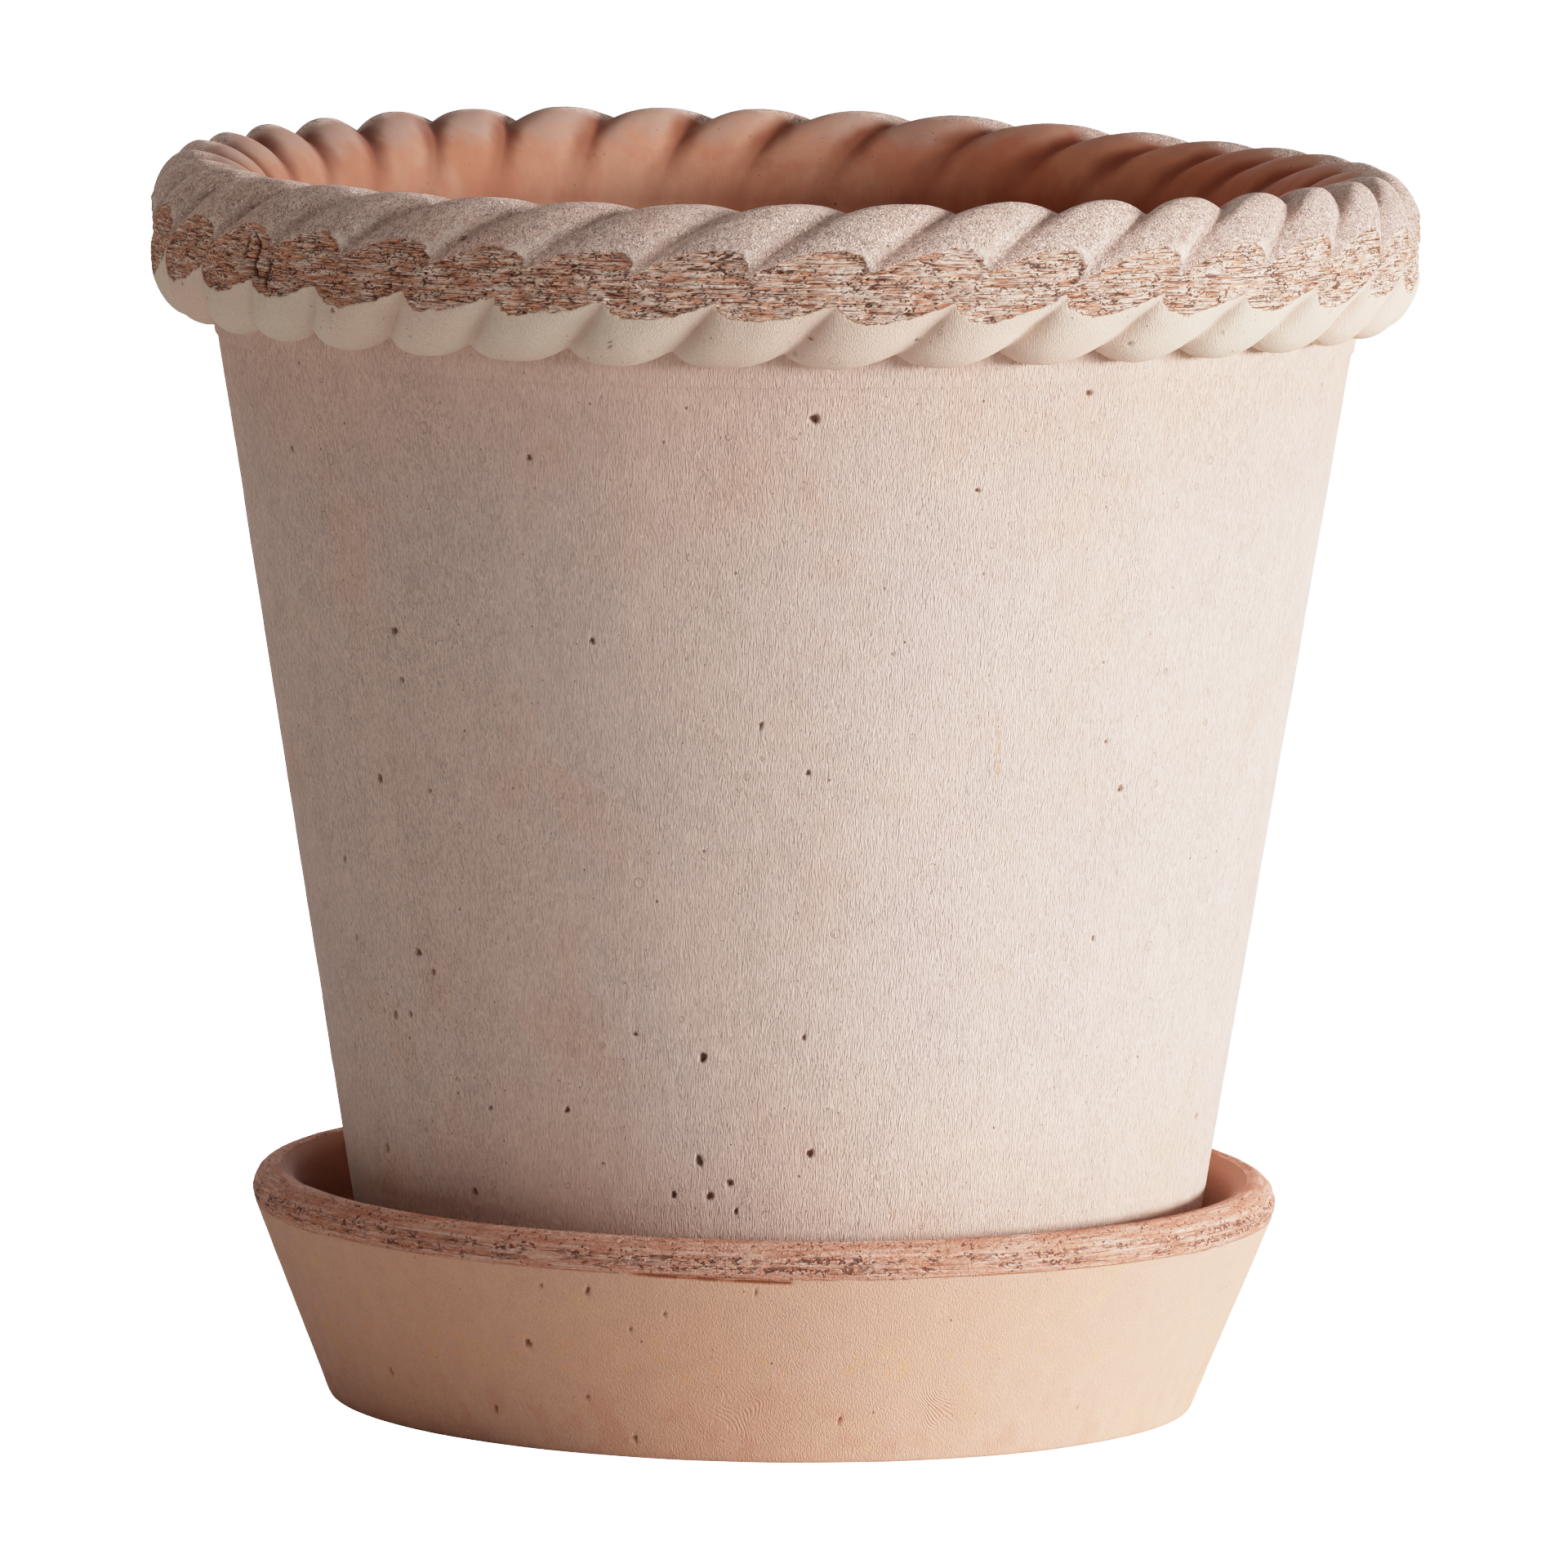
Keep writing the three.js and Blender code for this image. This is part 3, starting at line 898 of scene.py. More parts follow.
def make_saucer():
    surface = Surface()
    rings = surface.rings
    surface.ring([0.0], [(SHIFT_X, 0, SAUCER_UNDER_Z)], foot_dirt=1.0)
    for count, radii, z, rough in SAUCER_UNDERSIDE:
        turn, angle = circle(count)
        for radius in radii:
            lift = rough * fractal(angle, radius, 30, cell=(6, 6), seed=141)
            surface.ring(turn, saucer_place(angle, radius, z + lift), foot_dirt=1.0)
    outer_start = len(rings)
    arcs, lip_arc = add_outside(surface)
    lip_end = len(rings) - 1
    radii, heights = round_profile(SAUCER_INSIDE, lambda radius, z: np.full_like(radius, 0.8))
    inner_arcs = arcs[-1] + path_length(np.stack([radii, heights], -1))
    turn, angle = circle(480)
    for radius, z, arc in zip(radii[1:], heights[1:], inner_arcs[1:]):
        uneven = 0.06 * fractal(angle, z, 62, cell=(9, 3), seed=151)
        surface.ring(turn, saucer_place(angle, radius + uneven, z), arc, inside=1.0)
    inner_end = len(rings) - 1
    for count, radii in SAUCER_FLOOR:
        turn, angle = circle(count)
        for radius in radii:
            z = SAUCER_FLOOR_Z + 0.04 * fractal(angle, radius, 30, cell=(8, 8), seed=152)
            surface.ring(turn, saucer_place(angle, radius, z), inside=1.0)
    surface.ring([0.0], [(SHIFT_X, 0, SAUCER_FLOOR_Z)], inside=1.0)

    split = int(np.argmax(arcs >= lip_arc - 1.5))  # profile row where the lip's chart starts
    lip_start = outer_start + split
    surface.skin(
        (disc((0.12, 0.125), radius_uv=0.115, radius_mm=62), outer_start),
        (strips(2, bottom=0.26, height=0.40, arcs=(arcs[0], arcs[split])), split),
        (strips(2, bottom=0.665, height=0.16, arcs=(arcs[split], arcs[-1])), lip_end - lip_start),
        (
            strips(2, bottom=0.83, height=0.165, arcs=(arcs[-1], inner_arcs[-1])),
            inner_end - lip_end,
        ),
        (disc((0.36, 0.125), radius_uv=0.115, radius_mm=62), len(rings) - 1 - inner_end),
    )
    return surface.mesh("saucer_dish")


# ------------------------------------------------------------------ material building
class Wire:
    """A node output that can be reckoned with; each operator adds a Math node."""

    def __init__(self, nodes, socket):
        self.nodes, self.socket = nodes, socket

    def __add__(self, other):
        return self.nodes.math("ADD", self, other)

    def __radd__(self, other):
        return self.nodes.math("ADD", other, self)

    def __sub__(self, other):
        return self.nodes.math("SUBTRACT", self, other)

    def __rsub__(self, other):
        return self.nodes.math("SUBTRACT", other, self)

    def __mul__(self, other):
        return self.nodes.math("MULTIPLY", self, other)

    def __lt__(self, other):
        return self.nodes.math("LESS_THAN", self, other)

    def __abs__(self):
        return self.nodes.math("ABSOLUTE", self)

    def ramp(self, start, stop, low=0.0, high=1.0, kind="SMOOTHSTEP"):
        """low where the wire is at start, high where it is at stop."""
        node = self.nodes.node("ShaderNodeMapRange", interpolation_type=kind)
        inputs = {"Value": self, "From Min": start, "From Max": stop, "To Min": low, "To Max": high}
        for name, value in inputs.items():
            self.nodes.put(node.inputs[name], value)
        return Wire(self.nodes, node.outputs["Result"])

    def near(self, centre, outer, inner):
        """1 within inner of the centre, 0 beyond outer."""
        return abs(self - centre).ramp(outer, inner)


class Nodes:
    """A material under construction. Noise frequencies are in cells per metre."""

    def __init__(self, name):
        self.material = bpy.data.materials.new(name)
        self.material.use_nodes = True
        self.tree = self.material.node_tree
        self.tree.nodes.clear()
        self.output = self.node("ShaderNodeOutputMaterial")
        self.coord = Wire(self, self.node("ShaderNodeTexCoord").outputs["Object"])

    def node(self, kind, **properties):
        node = self.tree.nodes.new(kind)
        for name, value in properties.items():
            setattr(node, name, value)
        return node

    def put(self, socket, value):
        if isinstance(value, Wire):
            self.tree.links.new(value.socket, socket)
        elif isinstance(value, tuple) and socket.type == "RGBA":
            socket.default_value = (*value, 1)
        else:
            socket.default_value = value

    def attr(self, name):
        return Wire(self, self.node("ShaderNodeAttribute", attribute_name=name).outputs["Fac"])

    def attrs(self, names):
        return SimpleNamespace(**{name: self.attr(name) for name in names.split()})

    def math(self, operation, first, second=0.0):
        node = self.node("ShaderNodeMath", operation=operation)
        for socket, value in zip(node.inputs, (first, second, 0.0)):
            self.put(socket, value)
        return Wire(self, node.outputs[0])

    def maximum(self, first, second):
        return self.math("MAXIMUM", first, second)

    def mix(self, amount, first, second, blend="MIX"):
        node = self.node("ShaderNodeMix", data_type="RGBA", blend_type=blend)
        for index, value in ((0, amount), (6, first), (7, second)):
            self.put(node.inputs[index], value)
        return Wire(self, node.outputs[2])

    def layers(self, colour, *coats):
        """Lays (amount, colour) coats over a colour, one after the other."""
        for amount, coat in coats:
            colour = self.mix(amount, colour, coat)
        return colour

    def tinted(self, colour, tint):
        return self.mix(1.0, colour, tint, "MULTIPLY")

    def gain(self, colour, value):
        """The colour times a number."""
        node = self.node("ShaderNodeHueSaturation")
        self.put(node.inputs["Color"], colour)
        self.put(node.inputs["Value"], value)
        return Wire(self, node.outputs[0])

    def shade(self, colour, pattern, dark, light, start=0.3, stop=0.7):
        """Darkens and lightens the colour in step with a pattern."""
        return self.gain(colour, pattern.ramp(start, stop, dark, light, "LINEAR"))

    def scaled(self, across, up, offset):
        """Object coordinates times a frequency across (X and Y) and up (Z)."""
        node = self.node("ShaderNodeMapping", vector_type="POINT")
        self.put(node.inputs["Vector"], self.coord)
        node.inputs["Scale"].default_value = (across, across, up)
        node.inputs["Location"].default_value = offset
        return Wire(self, node.outputs[0])

    def sheared(self, slope_per_m, across, up, offset):
        """Coordinates turned about Z by an angle that grows with height: streaks lean."""
        turn = self.node("ShaderNodeVectorRotate", rotation_type="Z_AXIS")
        self.put(turn.inputs["Vector"], self.coord)
        self.put(turn.inputs["Angle"], self.attr("pz") * slope_per_m)
        node = self.node("ShaderNodeVectorMath", operation="MULTIPLY_ADD")
        self.put(node.inputs[0], Wire(self, turn.outputs[0]))
        node.inputs[1].default_value = (across, across, up)
        node.inputs[2].default_value = offset
        return Wire(self, node.outputs[0])

    def noise_at(self, vector, detail=3.0, rough=0.5, warp=0.0, scale=1.0):
        node = self.node("ShaderNodeTexNoise", noise_dimensions="3D")
        inputs = {
            "Vector": vector, "Scale": scale, "Detail": detail,
            "Roughness": rough, "Distortion": warp,
        }
        for name, value in inputs.items():
            self.put(node.inputs[name], value)
        return Wire(self, node.outputs["Fac"])

    def noise(self, across, offset, up=None, **look):
        vector = self.scaled(across, across if up is None else up, offset)
        return self.noise_at(vector, **look)

    def streaks(self, width_mm, length_mm, seed, detail):
        """Fine upright streaks."""
        offset = (seed, seed * 2.3, seed)
        across, up = 1000.0 / width_mm, 1000.0 / length_mm
        return self.noise(across, offset, up=up, detail=detail, rough=0.55)

    def lines(self, length_mm, height_mm, seed, detail, warp):
        """Long level shreds."""
        offset = (seed, seed * 1.3, seed * 2.1)
        across, up = 1000.0 / length_mm, 1000.0 / height_mm
        return self.noise(across, offset, up=up, detail=detail, rough=0.6, warp=warp)

    def knots(self, size_mm, seed, cut, lift_mm=0.0):
        """Ragged little blobs, wider than tall; lift_mm moves the same blobs up."""
        across = 1000.0 / size_mm
        up = across * 1.25
        offset = (seed, seed * 1.9, seed * 0.7 - lift_mm * up / 1000.0)
        return self.noise(across, offset, up=up, detail=1.5, rough=0.6).ramp(cut, cut + 0.035)

    def cells(self, vector, share):
        """Distance to the nearest cell centre, and 1 in the given share of the cells."""
        node = self.node("ShaderNodeTexVoronoi", voronoi_dimensions="3D", feature="F1")
        self.put(node.inputs["Vector"], vector)
        self.put(node.inputs["Scale"], 1.0)
        split = self.node("ShaderNodeSeparateColor")
        self.put(split.inputs[0], Wire(self, node.outputs["Color"]))
        return Wire(self, node.outputs["Distance"]), Wire(self, split.outputs[0]) < share

    def specks(self, cell_mm, radius, seed, share):
        """Sparse round specks: 1 in a speck. radius is in cells."""
        size = 1000.0 / cell_mm
        distance, chosen = self.cells(self.scaled(size, size, (seed, seed, seed * 3.1)), share)
        return distance.ramp(radius, radius * 0.6) * chosen

    def hairs(self, cell_mm, radius, width, seed, share):
        """Sparse little broken rings, as fibres leave in slip."""
        size = 1000.0 / cell_mm
        vector = self.scaled(size, size, (seed, seed * 2, seed * 3))
        distance, chosen = self.cells(vector, share)
        ring = distance.near(radius, outer=width, inner=width * 0.3)
        broken = self.noise(size, (seed + 5, 1, 2), scale=1.6, detail=1.0).ramp(0.45, 0.55)
        return ring * chosen * broken

    def finish(self, colour, height, distance):
        """Matt surface with bump relief; distance is the relief's depth in metres."""
        shader = self.node("ShaderNodeBsdfPrincipled")
        self.put(shader.inputs["Base Color"], colour)
        self.put(shader.inputs["Roughness"], 0.93)
        self.put(shader.inputs["Specular IOR Level"], 0.25)
        relief = self.node("ShaderNodeBump")
        relief.inputs["Strength"].default_value = 1.0
        relief.inputs["Distance"].default_value = distance
        self.put(relief.inputs["Height"], height)
        self.put(shader.inputs["Normal"], Wire(self, relief.outputs[0]))
        self.put(self.output.inputs["Surface"], Wire(self, shader.outputs[0]))
        return self.material


# ------------------------------------------------------------------ the pot's clay
def pot_wall(mat, part, shared):
    """Pale pink slip with peach and lilac-grey clouds: colour and relief."""
    colour = mat.mix(
        shared.cloud.ramp(start=0.40, stop=0.62), (0.772, 0.533, 0.436), (0.735, 0.521, 0.443)
    )
    peach = shared.peach.ramp(start=0.52, stop=0.72) * 0.55
    colour = mat.mix(peach, colour, (0.745, 0.452, 0.325))
    colour = mat.shade(colour, shared.mottle, dark=0.965, light=1.03)
    # drag marks of the smoothing tool: fine upright streaks over a short stipple
    streak = mat.streaks(width_mm=0.170, length_mm=4.6, seed=13.0, detail=0.6)
    hairline = mat.streaks(width_mm=0.30, length_mm=11.0, seed=23.0, detail=0.0)
    where = mat.noise(120, (6, 2, 8), up=60, detail=2.0)
    where = where.ramp(start=0.36, stop=0.62, low=0.70, high=1.0)
    light = streak.ramp(start=0.55, stop=0.72) * where
    dark = streak.ramp(start=0.45, stop=0.30) * where
    scratch = hairline.near(0.335, outer=0.030, inner=0.008) * where
    colour = mat.shade(colour, shared.stipple, dark=0.94, light=1.05)
    colour = mat.gain(colour, 1.0 + (light * 0.08 - dark * 0.09))
    colour = mat.gain(colour, 1.0 - scratch * 0.10)
    # warmer and darker near the rope and near the foot
    tan = part.pz.ramp(start=0.118, stop=0.158) * 0.9
    low_tan = (part.pz + shared.cloud * 0.03).ramp(start=0.075, stop=0.035) * 0.85
    tan = mat.maximum(tan, low_tan)
    colour = mat.mix(tan, colour, mat.tinted(colour, (0.96, 0.865, 0.80)))
    # one small rusty run on the front, broken into dots
    dots = mat.noise(900, (4, 1, 9), up=1100, detail=2.0).ramp(start=0.44, stop=0.56)
    run = part.px.near(0.0303, outer=0.0006, inner=0.0001)
    run = run * part.pz.near(0.1015, outer=0.0050, inner=0.0036)
    run = run * dots * (part.py < 0.0)
    colour = mat.mix(run * 0.55, colour, (0.66, 0.30, 0.14))
    relief = (shared.stipple * 0.34 + (light * 0.22 - dark * 0.30)) - scratch * 0.25
    return colour, relief * 3.3


def pot_rope(mat, part, shared):
    """Greyer and grainier above the band, creamy and smoother below: colour and relief."""
    # worm-like grain: thin dark lines between plump bits
    worm = mat.noise(1000.0 / 0.43, (3.0, 5.1, 0.9), detail=1.0, warp=1.2)
    worm = abs(worm - 0.5)
    grain = mat.noise(3600, (2, 7, 1), detail=1.0, rough=0.6)
    breaks = mat.noise(1250, (9, 3, 5), detail=1.0).ramp(start=0.38, stop=0.50)
    dash = worm.ramp(start=0.055, stop=0.018) * breaks
    fleck = worm.ramp(start=0.13, stop=0.19)
    above = mat.mix(
        shared.peach.ramp(start=0.42, stop=0.66), (0.860, 0.575, 0.475), (0.870, 0.545, 0.432)
    )
    above = mat.layers(
        mat.shade(above, grain, dark=0.78, light=1.26),
        (fleck * 0.62, (0.90, 0.72, 0.63)),  # pale bits
        (dash * 0.75, (0.22, 0.110, 0.080)),  # dark lines between them
    )
    below = mat.mix(
        shared.cloud.ramp(start=0.4, stop=0.6), (0.700, 0.532, 0.402), (0.725, 0.495, 0.378)
    )
    below = mat.shade(below, shared.mottle, dark=0.96, light=1.03)
    below = mat.shade(below, shared.stipple, dark=0.925, light=1.055)
    below = mat.shade(below, grain, dark=0.90, light=1.09)
    colour = mat.layers(
        mat.mix(part.upper, below, above),
        (part.cream * 0.85, (0.80, 0.62, 0.51)),
        # painted shade in the grooves
        (part.groove * 0.45, (0.55, 0.345, 0.27)),
    )
    relief_above = ((mat.math("MINIMUM", worm, 0.12) * 4.2 + grain * 0.9) - dash * 0.5) * 2.6
    relief_below = shared.stipple * 0.95
    relief = relief_above * part.upper + relief_below * (1.0 - part.upper)
    return colour, relief * (1.0 - part.cream * 0.8)


def pot_inside(mat, part, shared):
    """Bare orange clay with a grey-pink bloom near the top: colour and relief."""
    bloom = mat.noise(60, (5, 5, 1), up=45, detail=4.0, rough=0.6, warp=0.5)
    colour = mat.mix(
        bloom.ramp(start=0.38, stop=0.62), (0.445, 0.182, 0.107), (0.395, 0.132, 0.070)
    )
    blush = shared.blush.ramp(start=0.50, stop=0.66) * 0.5
    colour = mat.mix(blush, colour, (0.400, 0.120, 0.066))
    colour = mat.shade(colour, shared.mottle, dark=0.95, light=1.04)
    grey = (part.pz + shared.blush * 0.007).ramp(start=0.1765, stop=0.1800)
    grey = grey * bloom.ramp(start=0.35, stop=0.55, low=0.55, high=1.0)
    colour = mat.layers(
        colour,
        (grey * 0.85, (0.375, 0.215, 0.165)),
        # painted shade: broad soft shadows in the grooves
        (part.groove * 0.95, (0.170, 0.042, 0.018)),
    )
    # painted shade: darker towards -X, where the key light reaches the inner wall, and redder towards
    # +X, the tint of the shaded side
    colour = mat.gain(colour, part.px.ramp(start=-0.068, stop=-0.012, low=0.64, high=1.06))
    redder = part.px.ramp(start=0.005, stop=0.040)
    colour = mat.mix(redder, colour, mat.tinted(colour, (0.93, 0.74, 0.64)))
    return colour, mat.noise(450, (8, 1, 1), up=300, detail=4.0, rough=0.6) * 0.6


def pot_band(mat, flake, holes):
    """Torn band of pale layers, bared clay and dark lines, in level shreds: colour, relief."""
    shred = mat.lines(length_mm=7.5, height_mm=0.32, seed=2.0, detail=1.5, warp=0.08)
    fine = mat.lines(length_mm=1.5, height_mm=0.175, seed=6.0, detail=1.5, warp=0.2)
    patch = mat.lines(length_mm=6.0, height_mm=0.50, seed=9.0, detail=3.0, warp=0.25)
    drift = mat.noise(110, (4, 8, 3), up=150, detail=2.0)
    tone = mat.noise(160, (7, 7, 3), up=260, detail=3.0, rough=0.6)
    pale = mat.mix(tone.ramp(start=0.38, stop=0.62), (0.86, 0.575, 0.430), (0.95, 0.690, 0.545))
    pale = mat.shade(pale, fine, dark=0.86, light=1.10, start=0.32, stop=0.66)
    brown = mat.mix(fine.ramp(start=0.4, stop=0.6), (0.57, 0.155, 0.062), (0.76, 0.280, 0.130))
    bare = (patch + drift * 0.20).ramp(start=0.690, stop=0.712) * 0.85
    bare = mat.maximum(bare, flake * 0.75)
    colour = mat.mix(bare, pale, brown)
    # dark dashes, long lines and blobs
    dashes = mat.lines(length_mm=4.2, height_mm=0.150, seed=12.0, detail=1.0, warp=0.03)
    dash = dashes.ramp(start=0.605, stop=0.640)
    breaks = mat.noise(420, (1, 2, 3), up=900, detail=2.0).ramp(start=0.42, stop=0.54)
    long_line = shred.near(0.47, outer=0.014, inner=0.007) * breaks
    crowd = mat.noise(330, (6, 1, 4), up=620, detail=2.0, rough=0.6)
    crowd = crowd.ramp(start=0.44, stop=0.56, low=0.25, high=1.0)
    knots = partial(mat.knots, size_mm=0.52, seed=5.0)
    dark = mat.maximum(mat.maximum(dash, long_line) * 0.85, knots(cut=0.565) * crowd * 0.95)
    # painted highlights: bright torn lips beside the dark lines
    painted_highlight = knots(cut=0.550, lift_mm=-0.17) * crowd
    painted_highlight = mat.maximum(painted_highlight, fine.ramp(start=0.575, stop=0.605) * (1.0 - bare) * 0.6)
    halo = mat.maximum(dashes.ramp(start=0.505, stop=0.560), knots(cut=0.510) * crowd)
    colour = mat.layers(
        colour,
        (halo * 0.66, (0.58, 0.180, 0.084)),
        (painted_highlight * 0.8, (0.95, 0.76, 0.64)),
        (dark, (0.120, 0.036, 0.018)),
    )
    relief = ((shred * 1.2 + fine * 0.9) - (dark * 1.3 + bare * 0.4)) + painted_highlight * 0.5
    return colour, (relief - holes * 1.6) * 1.9


def pot_material():
    mat = Nodes("slip_coated_terracotta")
    part = mat.attrs(
        "torn flake hole crack upper inner groove cream rope dark foot_dirt px py pz"
    )
    shared = SimpleNamespace(
        cloud=mat.noise(28, (3, 1, 7), up=22, detail=4.0, rough=0.55, warp=0.3),
        peach=mat.noise(55, (11, 4, 2), up=40, detail=5.0, rough=0.6, warp=0.4),
        mottle=mat.noise(260, (1, 9, 4), up=200, detail=4.0, rough=0.6),
        stipple=mat.streaks(width_mm=0.165, length_mm=0.95, seed=3.0, detail=1.0),
        blush=mat.noise(150, (2, 5, 8), up=110, detail=3.0, rough=0.6, warp=0.5),
    )
    outside = 1.0 - part.inner
    on_band = part.torn.ramp(start=0.25, stop=0.6)
    off_band = 1.0 - on_band
    holes = mat.specks(cell_mm=0.62, radius=0.28, seed=31.0, share=0.20) * on_band
    wall, wall_relief = pot_wall(mat, part, shared)
    rope, rope_relief = pot_rope(mat, part, shared)
    inside, inside_relief = pot_inside(mat, part, shared)
    band, band_relief = pot_band(mat, part.flake, holes)

    edge = part.torn.ramp(start=0.02, stop=0.35) * part.torn.ramp(start=0.98, stop=0.5)
    edge = edge * shared.blush.ramp(start=0.40, stop=0.50)
    speck = mat.specks(cell_mm=3.4, radius=0.075, seed=4.0, share=0.16)
    tiny = mat.specks(cell_mm=1.5, radius=0.105, seed=9.0, share=0.26)
    specks = mat.maximum(speck, tiny * 0.85) * off_band
    hair = mat.maximum(
        mat.hairs(cell_mm=6.5, radius=0.12, width=0.020, seed=3.0, share=0.36),
        mat.hairs(cell_mm=2.6, radius=0.16, width=0.045, seed=8.0, share=0.10),
    )
    hair = hair * (off_band * outside)
    crack = part.crack.ramp(start=0.10, stop=0.60, low=0.0, high=0.92)
    colour = mat.layers(
        wall,
        (part.rope, rope),
        (part.inner, inside),
        (part.foot_dirt * 0.35, (0.60, 0.36, 0.27)),
        (on_band, band),
        (edge * 0.8, (0.46, 0.175, 0.080)),  # thin orange outline where the skin tears
        (crack, (0.11, 0.036, 0.020)),
        (holes * 0.9, (0.12, 0.045, 0.028)),
        (part.hole * 0.9, (0.12, 0.045, 0.028)),
        (part.dark * 0.9, (0.17, 0.065, 0.035)),  # pits
        (specks * 0.80, (0.24, 0.100, 0.060)),
        (hair * 0.42, (0.30, 0.17, 0.12)),
    )
    relief = wall_relief * (1.0 - part.rope) + rope_relief * part.rope
    relief = relief * outside + inside_relief * part.inner
    relief = relief * off_band + band_relief * on_band
    relief = relief - specks * 1.6 - hair * 0.5
    return mat.finish(colour, relief, distance=0.00016)


# ------------------------------------------------------------------ the saucer's clay
def saucer_lip(mat, part):
    """Torn lip: colour, and relief."""
    shred = mat.lines(length_mm=9.0, height_mm=0.45, seed=12.0, detail=2.0, warp=0.1)
    fine = mat.lines(length_mm=0.80, height_mm=0.26, seed=16.0, detail=2.0, warp=0.5)
    colour = mat.mix(
        shred.ramp(start=0.38, stop=0.62), (0.555, 0.200, 0.122), (0.690, 0.345, 0.245)
    )
    colour = mat.shade(colour, fine, dark=0.80, light=1.18, start=0.32, stop=0.68)
    crowd = mat.noise(190, (3, 6, 9), detail=2.0)
    knots = partial(mat.knots, size_mm=0.85, seed=16.0)

    def in_rows():
        return crowd.ramp(start=0.42, stop=0.52) * part.row.ramp(start=0.15, stop=0.60)

    ragged = knots(cut=0.545) * in_rows()
    loose = mat.knots(size_mm=0.60, seed=26.0, cut=0.615) * crowd.ramp(start=0.40, stop=0.50)
    ragged = mat.maximum(ragged, loose)
    dash = mat.lines(length_mm=3.5, height_mm=0.15, seed=36.0, detail=1.0, warp=0.03)
    dash = dash.ramp(start=0.60, stop=0.635) * part.row.ramp(start=0.05, stop=0.4)
    ragged = mat.maximum(ragged, dash * 0.8)
    # painted highlights beside the ragged holes: the same blobs moved up
    edge = knots(cut=0.530, lift_mm=-0.20) * in_rows()
    rust = knots(cut=0.480) * crowd.ramp(start=0.42, stop=0.52)
    rust = rust * part.row.ramp(start=0.05, stop=0.40)
    colour = mat.layers(
        colour,
        (part.flake * 0.35, (0.50, 0.200, 0.110)),
        (part.light * 0.60, (0.84, 0.60, 0.49)),
        (rust * 0.60, (0.42, 0.130, 0.060)),  # round the ragged holes
        (edge * 0.65, (0.90, 0.68, 0.57)),  # painted highlights: bright edges beside them
        (ragged * 0.95, (0.14, 0.034, 0.018)),
    )
    return colour, (shred * 1.6 + fine * 2.6) - ragged * 2.0


